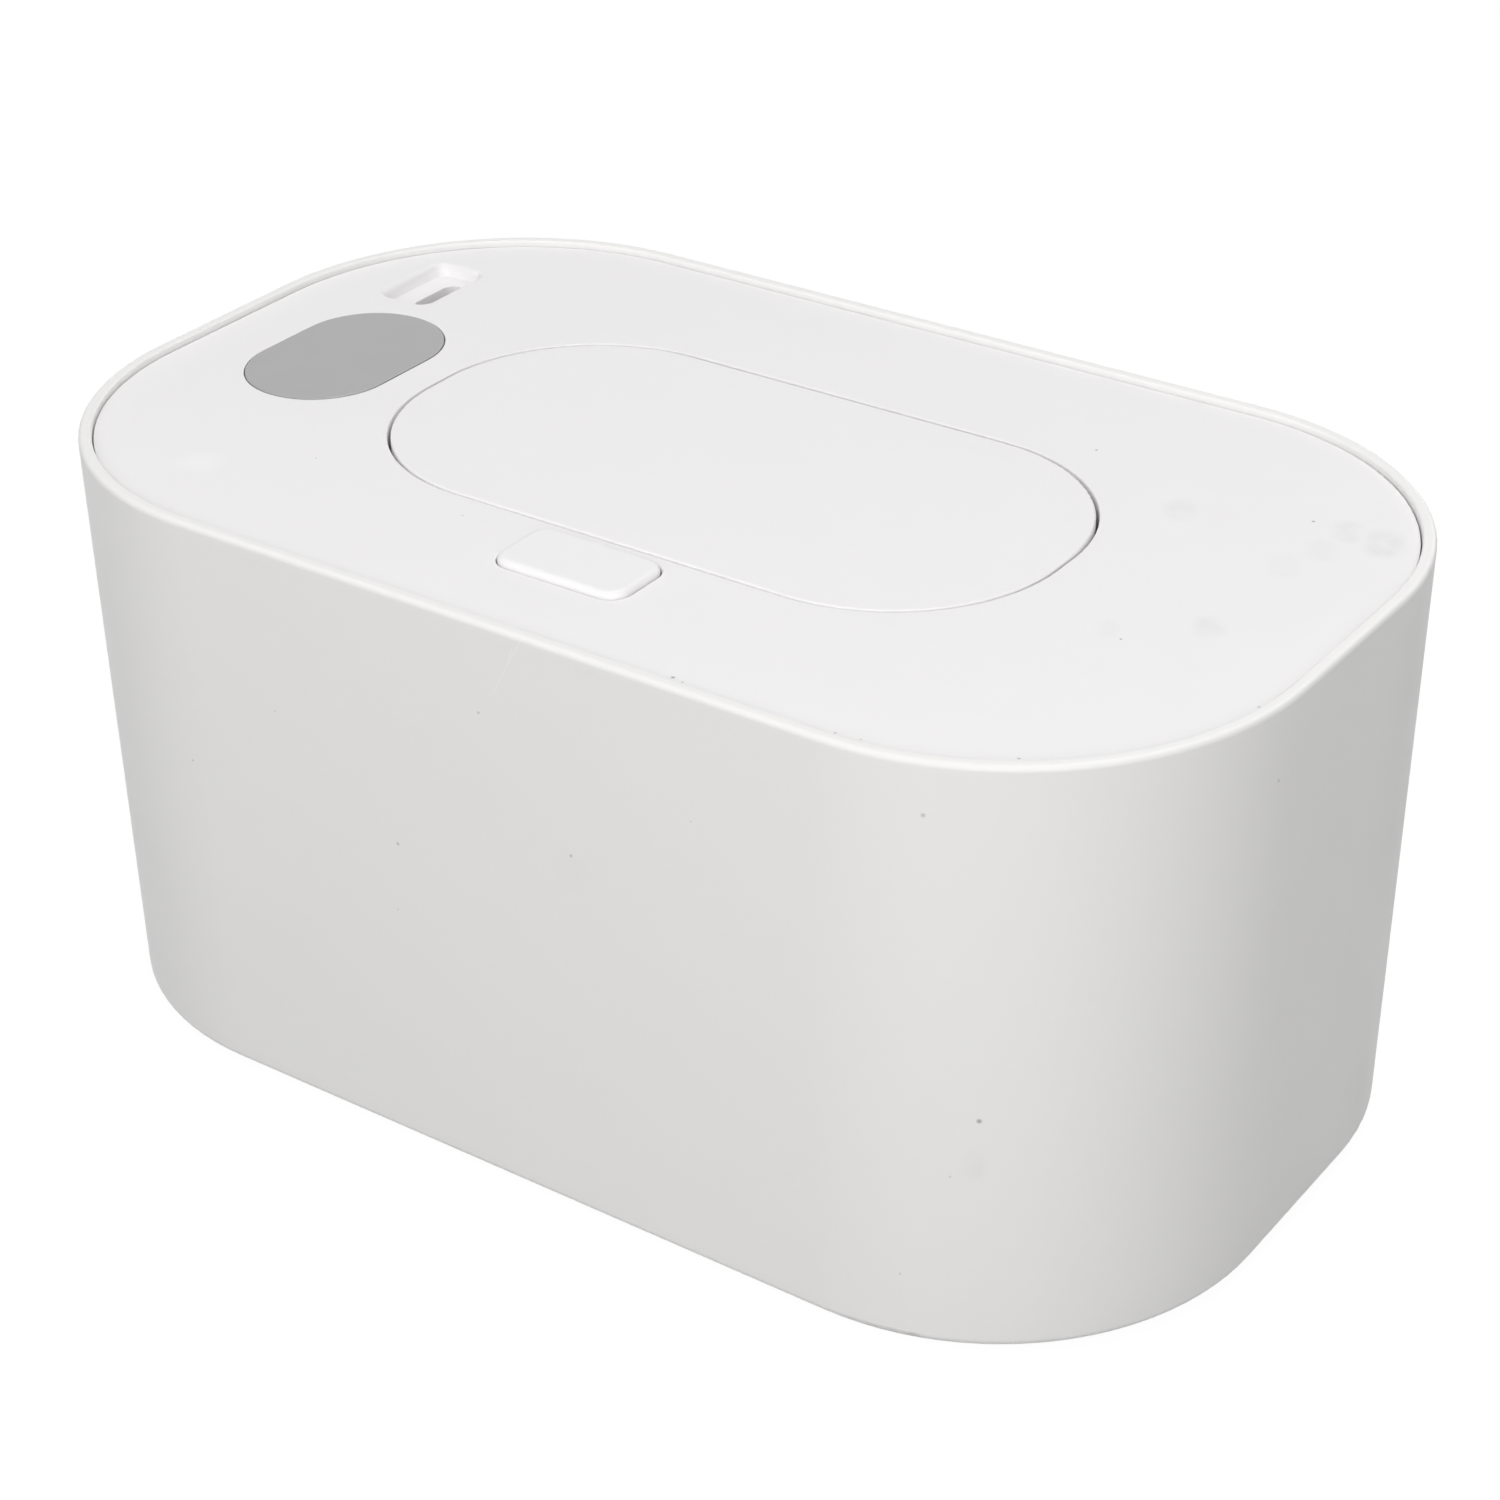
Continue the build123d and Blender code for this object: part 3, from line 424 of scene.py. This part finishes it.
@dataclass(frozen=True)
class Moulded:
    """Injection-moulded plastic: soft mottling, fine spark texture and edges painted slightly lighter as a
    painted highlight.
    """

    name: str
    colour: Colour
    roughness: float
    spread: float = 0.06
    mottle: float = 0.012
    mottle_size: float = 0.018
    grain: float = 0.00045
    grain_depth: float = 0.000004
    flow: float = 0.0
    edge: float = 0.0003
    # how much lighter the sharp edges are painted, as a painted highlight
    edge_light: float = 1.03
    specks: float = 0.0             # share of the cells that hold a speck
    smudges: tuple[Smear, ...] = ()
    smudge_dark: float = 0.72
    smudge_gloss: float = 0.4
    smudge_patch: float = 0.0035
    shine: tuple[Mark, ...] = ()
    shine_light: float = 1.05
    shine_gloss: float = 0.1
    scratches: tuple[Smear, ...] = ()
    scratch_light: float = 1.10
    dirt: tuple[Mark, ...] = ()
    dirt_dark: float = 0.22
    speck_cell: float = 0.006
    speck_size: float = 0.022
    speck_strength: float = 0.55
    speck_dark: float = 0.35
    swirl_size: float = 0.05
    swirl_stretch: Point = (0.35, 0.35, 1.0)
    specular: float = 0.45

    def material(self) -> bpy.types.Material:
        """Builds the node tree."""
        chart = Chart(self.name)
        colour = chart.clouded(chart.noise(self.mottle_size, 4.0, 0.55), self.colour, self.mottle)
        # painted highlight: sharp edges are painted lighter
        colour = chart.mix(chart.edges(self.edge), colour, tint(self.colour, self.edge_light))
        rough = chart.uneven(chart.noise(self.mottle_size * 0.4, 3.0), self.roughness, self.spread / 2)
        if self.smudges:
            blots = self.blots(chart)
            colour = chart.mix(blots, colour, tint(self.colour, self.smudge_dark))
            rough = chart.maths("SUBTRACT", rough, chart.maths("MULTIPLY", blots, self.smudge_gloss))
        if self.shine:
            # the shine patch is glossier, and its colour is painted lighter as a painted highlight
            polish_and_highlight = chart.near(self.shine)
            colour = chart.mix(polish_and_highlight, colour, tint(self.colour, self.shine_light))
            rough = chart.maths("SUBTRACT", rough, chart.maths("MULTIPLY", polish_and_highlight, self.shine_gloss))
        for scratch in self.scratches:
            colour = chart.mix(chart.along(scratch), colour, tint(self.colour, self.scratch_light))
        if self.dirt:
            colour = chart.mix(chart.near(self.dirt), colour, tint(self.colour, self.dirt_dark))
        if self.specks:
            dots = chart.specks(self.speck_cell, self.speck_size, self.specks)
            dots = chart.maths("MULTIPLY", dots, self.speck_strength)
            colour = chart.mix(dots, colour, tint(self.colour, self.speck_dark))
        return chart.surface(colour, rough, chart.bump(self.relief(chart), self.grain_depth),
                             Specular_IOR_Level=self.specular)

    def blots(self, chart: Chart) -> Socket:
        """Smudges, broken up into softer and stronger patches.

        Args:
            chart: the node tree to add them to.

        Returns:
            Their strength.
        """
        total: Socket | float = 0.0
        for smudge in self.smudges:
            total = chart.maths("MAXIMUM", total, chart.along(smudge))
        broken = chart.span(chart.noise(self.smudge_patch, 3.0, 0.5), 0.30, 0.64, 0.35, 1.0)
        return chart.maths("MULTIPLY", total, broken)

    def relief(self, chart: Chart) -> Socket:
        """Fine grain, laid over the slow swirl of the plastic's flow if it has one.

        Args:
            chart: the node tree to add it to.

        Returns:
            The height.
        """
        height = chart.noise(self.grain, 3.0, 0.6)
        if self.flow:
            swirl = chart.noise(self.swirl_size, 2.0, 0.5, self.swirl_stretch)
            height = chart.maths("ADD", height, chart.maths("MULTIPLY", swirl, self.flow))
        return height


@dataclass(frozen=True)
class Smoked:
    """Smooth tinted plastic, such as a display window: a polished skin over an even grey."""

    name: str
    colour: Colour
    roughness: float
    spread: float = 0.03
    haze: float = 0.02
    haze_size: float = 0.012
    edge: float = 0.0004
    # how much lighter the rounded edges are painted, as a painted reflection
    edge_light: float = 1.12
    dust_cell: float = 0.003
    dust_size: float = 0.03
    dust_share: float = 0.02
    dust_strength: float = 0.5
    dust_light: float = 1.5
    ripple_size: float = 0.02
    ripple_depth: float = 0.00002
    coat: float = 0.3
    coat_roughness: float = 0.12

    def material(self) -> bpy.types.Material:
        """Builds the node tree."""
        chart = Chart(self.name)
        colour = chart.clouded(chart.noise(self.haze_size, 3.0, 0.5), self.colour, self.haze)
        # painted reflection: the rounded edges are painted lighter
        colour = chart.mix(chart.edges(self.edge), colour, tint(self.colour, self.edge_light))
        dust = chart.specks(self.dust_cell, self.dust_size, self.dust_share)
        dust = chart.maths("MULTIPLY", dust, self.dust_strength)
        colour = chart.mix(dust, colour, tint(self.colour, self.dust_light))
        rough = chart.uneven(chart.noise(0.004, 3.0), self.roughness, self.spread)
        ripple = chart.bump(chart.noise(self.ripple_size, 2.0), self.ripple_depth)
        return chart.surface(colour, rough, ripple, Coat_Weight=self.coat, Coat_Roughness=self.coat_roughness)


@dataclass(frozen=True)
class Soft:
    """Silicone or rubber: matt, slightly clouded, with edges painted lighter as a painted highlight."""

    name: str
    colour: Colour
    roughness: float = 0.6
    spread: float = 0.05
    cloud: float = 0.04
    cloud_size: float = 0.006
    grain: float = 0.0007
    grain_depth: float = 0.00001
    edge: float = 0.0004
    edge_highlight: float = 1.12
    sheen: float = 0.15
    sheen_roughness: float = 0.5
    specular: float = 0.35

    def material(self) -> bpy.types.Material:
        """Builds the node tree."""
        chart = Chart(self.name)
        colour = chart.clouded(chart.noise(self.cloud_size, 4.0, 0.6), self.colour, self.cloud)
        # painted highlight: sharp edges are painted lighter
        colour = chart.mix(chart.edges(self.edge), colour, tint(self.colour, self.edge_highlight))
        rough = chart.uneven(chart.noise(0.003, 3.0), self.roughness, self.spread)
        relief = chart.bump(chart.noise(self.grain, 3.0, 0.6), self.grain_depth)
        return chart.surface(colour, rough, relief, Sheen_Weight=self.sheen,
                             Sheen_Roughness=self.sheen_roughness, Specular_IOR_Level=self.specular)


class Lay(Enum):
    """Which way a metal's fine lines run."""

    ALONG_X = (0.02, 1.0, 1.0)
    ALONG_Y = (1.0, 0.02, 1.0)
    EVERY_WAY = (1.0, 1.0, 1.0)


@dataclass(frozen=True)
class Metal:
    """Rolled, drawn or plated metal with fine lines and brighter worn edges."""

    name: str
    colour: Colour
    roughness: float
    lay: Lay = Lay.EVERY_WAY
    line: float = 0.0004
    line_depth: float = 0.000006
    line_dark: float = 0.93
    line_light: float = 1.05
    smoother: float = 0.06
    rougher: float = 0.08
    tarnish: Colour = (0.42, 0.40, 0.37)
    tarnish_share: float = 0.12
    tarnish_size: float = 0.009
    tarnish_rough: float = 0.5
    edge: float = 0.0002
    edge_light: float = 1.15

    def material(self) -> bpy.types.Material:
        """Builds the node tree."""
        chart = Chart(self.name)
        lines = chart.noise(self.line, 4.0, 0.65, self.lay.value)
        colour = chart.mix(chart.span(lines, 0.35, 0.65, 0.0, 1.0), tint(self.colour, self.line_dark),
                           tint(self.colour, self.line_light))
        stain = chart.span(chart.noise(self.tarnish_size, 4.0, 0.6), 0.5, 0.72, 0.0, self.tarnish_share)
        colour = chart.mix(stain, colour, self.tarnish)
        colour = chart.mix(chart.edges(self.edge), colour, tint(self.colour, self.edge_light))
        rough = chart.span(lines, *NOISE_RANGE, self.roughness - self.smoother, self.roughness + self.rougher)
        rough = chart.maths("ADD", rough, chart.maths("MULTIPLY", stain, self.tarnish_rough))
        return chart.surface(colour, rough, chart.bump(lines, self.line_depth), Metallic=1.0)


@dataclass(frozen=True)
class Felt:
    """Needled felt: short fibres that cross each other, with lighter tufts."""

    name: str
    colour: Colour
    fibre: float = 0.0006
    fibre_stretch: float = 0.25
    fibre_depth: float = 0.00012
    gap_dark: float = 0.78
    tuft_light: float = 1.1
    tuft_size: float = 0.007
    tuft_dark: float = 0.85
    sheen: float = 0.3
    sheen_roughness: float = 0.6
    specular: float = 0.15

    def material(self) -> bpy.types.Material:
        """Builds the node tree."""
        chart = Chart(self.name)
        one = chart.noise(self.fibre, 4.0, 0.7, (self.fibre_stretch, 1.0, 1.0))
        other = chart.noise(self.fibre, 4.0, 0.7, (1.0, self.fibre_stretch, 1.0))
        fibres = chart.maths("MAXIMUM", one, other)
        colour = chart.mix(chart.span(fibres, 0.4, 0.75, 0.0, 1.0), tint(self.colour, self.gap_dark),
                           tint(self.colour, self.tuft_light))
        tufts = chart.span(chart.noise(self.tuft_size, 3.0), 0.4, 0.7, 0.0, 0.3)
        colour = chart.mix(tufts, colour, tint(self.colour, self.tuft_dark))
        rough = chart.span(fibres, 0.3, 0.8, 0.95, 0.8)
        return chart.surface(colour, rough, chart.bump(fibres, self.fibre_depth), Sheen_Weight=self.sheen,
                             Sheen_Roughness=self.sheen_roughness, Specular_IOR_Level=self.specular)


@dataclass(frozen=True)
class Etched:
    """Board or film with copper tracks under a tinted skin."""

    name: str
    colour: Colour
    track: Colour
    pitch: float
    width: float                    # a track's width, as a share of the pitch
    roughness: float
    spread: float = 0.05
    ground_drift: float = 0.1
    track_softness: float = 0.1
    track_run: float = 2.6          # length of a straight run, in pitches
    track_row: float = 0.8          # distance between rows, in pitches
    track_depth: float = 0.00004
    coat: float = 0.3
    coat_roughness: float = 0.25

    def material(self) -> bpy.types.Material:
        """Builds the node tree."""
        chart = Chart(self.name)
        bricks = chart.node("ShaderNodeTexBrick", offset=0.5, squash=0.6, squash_frequency=2)
        for key, value in (("Scale", 1.0 / self.pitch), ("Mortar Size", self.width),
                           ("Mortar Smooth", self.track_softness), ("Brick Width", self.track_run),
                           ("Row Height", self.track_row)):
            bricks.inputs[key].default_value = value
        chart.feed(bricks.inputs["Vector"], chart.place())
        tracks = bricks.outputs["Fac"]
        ground = chart.clouded(chart.noise(0.002, 3.0), self.colour, self.ground_drift)
        colour = chart.mix(tracks, ground, self.track)
        rough = chart.uneven(chart.noise(0.004, 3.0), self.roughness, self.spread)
        return chart.surface(colour, rough, chart.bump(tracks, self.track_depth), Coat_Weight=self.coat,
                             Coat_Roughness=self.coat_roughness)


# ---------------------------------------------------------- marks of use
PANEL_FACE = 0.0938             # height of the panel's upper face
PANEL_SMUDGES = (
    Smear((0.0614, 0.0226, PANEL_FACE), (0.0604, 0.0250, PANEL_FACE), 0.0033, 0.25),
    Smear((0.0901, 0.0286, PANEL_FACE), (0.0889, 0.0314, PANEL_FACE), 0.0039, 0.40),
    Smear((0.0842, 0.0293, PANEL_FACE), (0.0832, 0.0315, PANEL_FACE), 0.0031, 0.28),
    Smear((0.0814, -0.0063, PANEL_FACE), (0.0804, -0.0041, PANEL_FACE), 0.0031, 0.23),
    Smear((0.0815, 0.0149, PANEL_FACE), (0.0805, 0.0175, PANEL_FACE), 0.0035, 0.10),
    Smear((0.0837, 0.0222, PANEL_FACE), (0.0827, 0.0248, PANEL_FACE), 0.0035, 0.11),
    Smear((0.0703, -0.0139, PANEL_FACE), (0.0697, -0.0123, PANEL_FACE), 0.0023, 0.10),
)
# a glossier patch on the panel, its colour painted lighter as a painted highlight
PANEL_SHINE = (
    Mark((-0.0666, -0.0421, PANEL_FACE), 0.0050, 0.6),
)
PANEL_DIRT = (
    Mark((0.04103, 0.03433, PANEL_FACE), 0.00029, 0.81),
    Mark((0.07819, 0.03082, PANEL_FACE), 0.00033, 0.85),
    Mark((0.07283, -0.01463, PANEL_FACE), 0.00027, 0.72),
    Mark((-0.05314, -0.03147, PANEL_FACE), 0.00022, 0.47),
    Mark((-0.02315, -0.03432, PANEL_FACE), 0.00022, 0.42),
    Mark((0.02965, -0.05609, PANEL_FACE), 0.00044, 0.68),
    Mark((0.03140, -0.05640, PANEL_FACE), 0.00027, 0.38),
    Mark((0.05515, -0.05635, PANEL_FACE), 0.00031, 0.42),
    Mark((0.05876, -0.05590, PANEL_FACE), 0.00024, 0.34),
    Mark((0.07770, -0.04891, PANEL_FACE), 0.00034, 0.47),
    Mark((0.09644, -0.02073, PANEL_FACE), 0.00034, 0.42),
)
WALL_SMUDGES = (
    Smear((0.0756, -0.0537, 0.0319), (0.0756, -0.0537, 0.0339), 0.0024, 0.14),
    Smear((0.0140, -0.0594, 0.0590), (0.0140, -0.0594, 0.0610), 0.0040, 0.06),
)
WALL_DIRT = (
    Mark((0.07620, -0.05351, 0.04004), 0.00054, 0.65),
    Mark((-0.01744, -0.05933, 0.05366), 0.00037, 0.49),
    Mark((0.01409, -0.05947, 0.06274), 0.00037, 0.45),
    Mark((-0.00067, -0.05977, 0.08066), 0.00031, 0.42),
    Mark((-0.05690, -0.05928, 0.05444), 0.00031, 0.36),
    Mark((-0.03894, -0.05957, 0.06869), 0.00027, 0.26),
    Mark((-0.01853, -0.05913, 0.04202), 0.00027, 0.23),
    Mark((0.06911, -0.05748, 0.08692), 0.00048, 0.39),
    Mark((0.07283, -0.05502, 0.03041), 0.00031, 0.23),
    Mark((0.06645, -0.05702, 0.01241), 0.00031, 0.23),
    Mark((0.09953, -0.01966, 0.08332), 0.00037, 0.36),
    Mark((0.03465, -0.05968, 0.07536), 0.00024, 0.23),
)
WALL_SCRATCHES = (
    Smear((0.0073, -0.0600, 0.0940), (0.0020, -0.0598, 0.0844), 0.00014, 0.5),
    Smear((0.0052, -0.0599, 0.0905), (0.0058, -0.0599, 0.0925), 0.00018, 0.6),
)
PANEL_COLOUR = (0.889, 0.876, 0.880)


class Finishes:
    """Every finish by the material slot that it dresses."""

    PARTS = (
        Moulded("case_white", (0.875, 0.867, 0.860), 0.44, grain_depth=0.0000015, grain=0.0009, flow=6.0,
                mottle=0.006, mottle_size=0.03, specks=0.006, smudges=WALL_SMUDGES, dirt=WALL_DIRT,
                scratches=WALL_SCRATCHES, edge_light=1.02),
        Moulded("panel_white", PANEL_COLOUR, 0.62, grain=0.0004, grain_depth=0.000008, mottle=0.012,
                specks=0.006, smudges=PANEL_SMUDGES, shine=PANEL_SHINE, dirt=PANEL_DIRT, specular=0.35),
        Moulded("flip_white", PANEL_COLOUR, 0.60, grain=0.0004, grain_depth=0.000008, specks=0.004,
                specular=0.35),
        Moulded("button_white", (0.890, 0.879, 0.882), 0.52, grain=0.0005, grain_depth=0.000006,
                specular=0.4),
        Moulded("inner_white", (0.83, 0.83, 0.82), 0.55, grain=0.0006, grain_depth=0.000008, flow=1.0),
        Smoked("window_grey", (0.355, 0.355, 0.355), 0.42),
        Soft("silicone_white", (0.80, 0.80, 0.79)),
        Soft("foot_rubber", (0.33, 0.33, 0.33), 0.75, edge_highlight=1.3),
        Metal("heater_aluminium", (0.80, 0.81, 0.82), 0.36, Lay.ALONG_X),
        Etched("film_amber", (0.60, 0.28, 0.05), (0.50, 0.22, 0.05), 0.004, 0.06, 0.35),
        Felt("pad_felt", (0.78, 0.78, 0.75)),
        Moulded("fuse_body", (0.78, 0.74, 0.62), 0.35),
        Moulded("sensor_bead", (0.05, 0.05, 0.05), 0.30, edge_light=1.6),
        Soft("heater_lead", (0.55, 0.04, 0.03), 0.5),
        Soft("sensor_lead", (0.80, 0.80, 0.79), 0.5),
        Metal("screw_steel", (0.62, 0.62, 0.64), 0.34),
        Metal("spring_steel", (0.60, 0.60, 0.61), 0.30, line=0.0002),
        Metal("pin_steel", (0.72, 0.72, 0.73), 0.22, Lay.ALONG_X, line=0.0002),
        Etched("board_green", (0.02, 0.13, 0.05), (0.05, 0.22, 0.09), 0.0024, 0.10, 0.38),
        Moulded("part_black", (0.025, 0.025, 0.026), 0.45, mottle=0.1, edge_light=1.8),
        Smoked("display_black", (0.03, 0.03, 0.032), 0.25),
        Metal("socket_steel", (0.62, 0.62, 0.63), 0.30, Lay.ALONG_Y, line=0.0002),
    )

    def __init__(self) -> None:
        """Builds every material once."""
        self.by_slot = {finish.name: finish.material() for finish in self.PARTS}

    def dress(self, frame: dict) -> None:
        """Gives each CAD node the finish of its slot.
        """
        for row in frame["record"]["subparts"]:
            node = frame["nodes"][row["node"]]
            node.data.materials.clear()
            node.data.materials.append(self.by_slot[row["material_slot"]])
            LOG.info("%s dressed in %s", row["node"], row["material_slot"])


# -------------------------------------------------------------------- springs
def copied_wire(solid: bpy.types.Object, name: str, side: int = 0) -> bpy.types.Object:
    """A spring's wire as a smooth mesh of its own, because the solid itself never changes.

    Args:
        solid: the spring's solid.
        name: the new object's name.
        side: 1 or -1 keeps only the wire on that side of the middle, and 0 keeps all of it.

    Returns:
        The wire, dressed as the solid is.
    """
    wire = bmesh.new()
    wire.from_mesh(solid.data)
    bmesh.ops.remove_doubles(wire, verts=wire.verts, dist=WELD)
    if side:
        other = [vertex for vertex in wire.verts if vertex.co.x * side < 0.0]
        bmesh.ops.delete(wire, geom=other, context="VERTS")
    for face in wire.faces:
        face.smooth = True
    mesh = bpy.data.meshes.new(name)
    wire.to_mesh(mesh)
    wire.free()
    mesh.materials.append(solid.data.materials[0])
    made = bpy.data.objects.new(name, mesh)
    bpy.context.scene.collection.objects.link(made)
    return made


@dataclass(frozen=True)
class PressedSpring:
    """A compression spring with one end fixed in the lid; its wire is copied and carried by the lid."""

    node: str
    joint: str
    axis: Point
    travel: float

    def build(self, frame: dict) -> None:
        """Puts the wire in its solid's place.
        """
        low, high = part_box(self.node)
        wire = copied_wire(frame["nodes"][self.node], f"{self.node}_wire")
        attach(wire, "lid")
        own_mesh(wire)
        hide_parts(self.node)
        LOG.info("%s shortens by %.1f mm", wire.name, self.travel / MM)


@dataclass(frozen=True)
class TorsionSpring:
    """A hinge spring, whose outer leg stands on the lid and inner leg lifts the flip lid; one side's wire is
    copied in place.
    """

    name: str
    side: int
    inner_x: float = 0.0189         # where the coil meets the inner leg
    outer_x: float = 0.0219         # and the outer leg
    axis_y: float = 0.0320
    axis_z: float = 0.0912

    def build(self, frame: dict) -> None:
        """Puts the wire in its solid's place.
        """
        wire = copied_wire(frame["nodes"]["hinge_springs"], self.name, self.side)
        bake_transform(wire)
        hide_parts("hinge_springs")
        LOG.info("%s winds with the flip lid", wire.name)


PRESS_TRAVEL = 1.5 * MM
WORKING_SPRINGS = (
    PressedSpring("button_springs", "button_press", (0.0, 0.0, 1.0), PRESS_TRAVEL),
    PressedSpring("latch_spring", "latch_slide", (0.0, 1.0, 0.0), PRESS_TRAVEL),
    TorsionSpring("hinge_spring_right", 1),
    TorsionSpring("hinge_spring_left", -1),
)


# --------------------------------------------------------------------- studio
@dataclass(frozen=True)
class Softbox:
    """A square lamp aimed at one point."""

    name: str
    azimuth: float                  # degrees: 0 is in front, and 90 is at the +X end
    elevation: float                # degrees
    distance: float
    side: float
    watts: float
    aim: Point = (0.0, 0.0, 0.05)

    def build(self) -> None:
        """Adds the lamp."""
        turn, rise = math.radians(self.azimuth), math.radians(self.elevation)
        towards = Vector((math.sin(turn) * math.cos(rise), -math.cos(turn) * math.cos(rise), math.sin(rise)))
        data = bpy.data.lights.new(self.name, "AREA")
        data.shape = "SQUARE"
        data.size = self.side
        data.energy = self.watts
        lamp = bpy.data.objects.new(self.name, data)
        bpy.context.scene.collection.objects.link(lamp)
        lamp.location = Vector(self.aim) + towards * self.distance
        lamp.rotation_euler = towards.to_track_quat("Z", "Y").to_euler()
        LOG.info("%s placed", self.name)


@dataclass
class Studio:
    """Soft lamps, a pale floor and an even surround."""

    surround: float = 0.0           # strength where it only lights
    backdrop: float = 1.0           # strength where it is seen
    floor_side: float = 8.0
    floor_colour: Colour = (0.40, 0.40, 0.40)
    fibre: float = 0.002
    fibre_drift: float = 0.005
    floor_glow: float = 0.80        # share of glow over paper, where the floor is seen
    glow_strength: float = 1.18
    lamps: tuple[Softbox, ...] = field(default_factory=lambda: (
        Softbox("key_softbox", 45.0, 32.0, 1.1, 0.8, 7.55),
        Softbox("front_softbox", -10.0, 34.0, 1.3, 0.9, 4.6),
        Softbox("left_softbox", -45.0, 30.0, 1.5, 1.0, 2.8),
        Softbox("side_softbox", -90.0, 60.0, 1.5, 1.0, 3.2),
        Softbox("back_softbox", 180.0, 60.0, 1.5, 1.0, 8.9),
        Softbox("rear_softbox", 180.0, 15.0, 1.5, 0.7, 3.2),
    ))

    def build(self) -> None:
        """Adds the lamps, the floor and the surround."""
        for lamp in self.lamps:
            lamp.build()
        self.lay_floor()
        LOG.info("floor laid")
        self.light_surround()
        LOG.info("surround lit")

    def seen(self, tree: bpy.types.NodeTree) -> Socket:
        """Light Path's camera, glossy and transmission rays together.

        Args:
            tree: the node tree to add it to.

        Returns:
            1 for a ray that shows the backdrop.
        """
        path = tree.nodes.new("ShaderNodeLightPath")
        total = path.outputs["Is Camera Ray"]
        for key in ("Is Glossy Ray", "Is Transmission Ray"):
            largest = tree.nodes.new("ShaderNodeMath")
            largest.operation = "MAXIMUM"
            tree.links.new(total, largest.inputs[0])
            tree.links.new(path.outputs[key], largest.inputs[1])
            total = largest.outputs[0]
        return total

    def lay_floor(self) -> None:
        """The floor: pale, and nearly white where it is seen, with the object's shadow kept."""
        sheet = bmesh.new()
        bmesh.ops.create_grid(sheet, x_segments=1, y_segments=1, size=self.floor_side / 2)
        mesh = bpy.data.meshes.new("floor")
        sheet.to_mesh(mesh)
        sheet.free()
        floor = bpy.data.objects.new("floor", mesh)
        bpy.context.scene.collection.objects.link(floor)
        chart = Chart("floor_paper")
        paper = chart.node("ShaderNodeBsdfDiffuse")
        fibres = chart.noise(self.fibre, 3.0)
        chart.feed(paper.inputs["Color"], chart.clouded(fibres, self.floor_colour, self.fibre_drift))
        glow = chart.node("ShaderNodeEmission")
        glow.inputs["Strength"].default_value = self.glow_strength
        share = chart.maths("MULTIPLY", self.seen(chart.tree), self.floor_glow)
        both = chart.node("ShaderNodeMixShader")
        chart.feed(both.inputs[0], share)
        chart.feed(both.inputs[1], paper.outputs[0])
        chart.feed(both.inputs[2], glow.outputs[0])
        chart.feed(chart.node("ShaderNodeOutputMaterial").inputs["Surface"], both.outputs[0])
        mesh.materials.append(chart.material)

    def light_surround(self) -> None:
        """An even surround: white where it is seen, and dark where it would only light the object."""
        world = bpy.data.worlds.new("surround")
        world.use_nodes = True
        bpy.context.scene.world = world
        tree = world.node_tree
        background = tree.nodes["Background"]
        background.inputs["Color"].default_value = (1.0, 1.0, 1.0, 1.0)
        levels = tree.nodes.new("ShaderNodeMapRange")
        levels.inputs["To Min"].default_value = self.surround
        levels.inputs["To Max"].default_value = self.backdrop
        tree.links.new(self.seen(tree), levels.inputs["Value"])
        tree.links.new(levels.outputs[0], background.inputs["Strength"])


@dataclass(frozen=True)
class Viewpoint:
    """The camera: where it stands, and how it is turned, in degrees from level and facing +Y."""

    place: Point = (0.261215, -0.367168, 0.309369)
    left: float = 35.20024
    down: float = 30.31061
    roll: float = 0.69041
    lens: float = 81.796            # millimetres, as the sensor is
    sensor: float = 36.0
    nearest: float = 0.01

    def build(self) -> None:
        """Adds the camera and makes it the scene's own."""
        data = bpy.data.cameras.new("camera")
        data.lens = self.lens
        data.sensor_width = self.sensor
        data.sensor_fit = "HORIZONTAL"
        data.clip_start = self.nearest
        camera = bpy.data.objects.new("camera", data)
        bpy.context.scene.collection.objects.link(camera)
        yaw = Matrix.Rotation(math.radians(self.left), 4, "Z")
        pitch = Matrix.Rotation(math.radians(90.0 - self.down), 4, "X")
        roll = Matrix.Rotation(-math.radians(self.roll), 4, "Z")
        camera.matrix_world = Matrix.Translation(self.place) @ yaw @ pitch @ roll
        bpy.context.scene.camera = camera
        LOG.info("camera placed")


def main() -> None:
    """Builds the whole scene in order."""
    logging.basicConfig(level=logging.INFO, format="%(message)s")
    bpy.ops.wm.read_factory_settings(use_empty=True)
    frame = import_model()
    Finishes().dress(frame)
    for spring in WORKING_SPRINGS:
        spring.build(frame)
    Studio().build()
    Viewpoint().build()
    bpy.context.scene.view_settings.view_transform = "Standard"


if __name__ == "__main__":
    main()
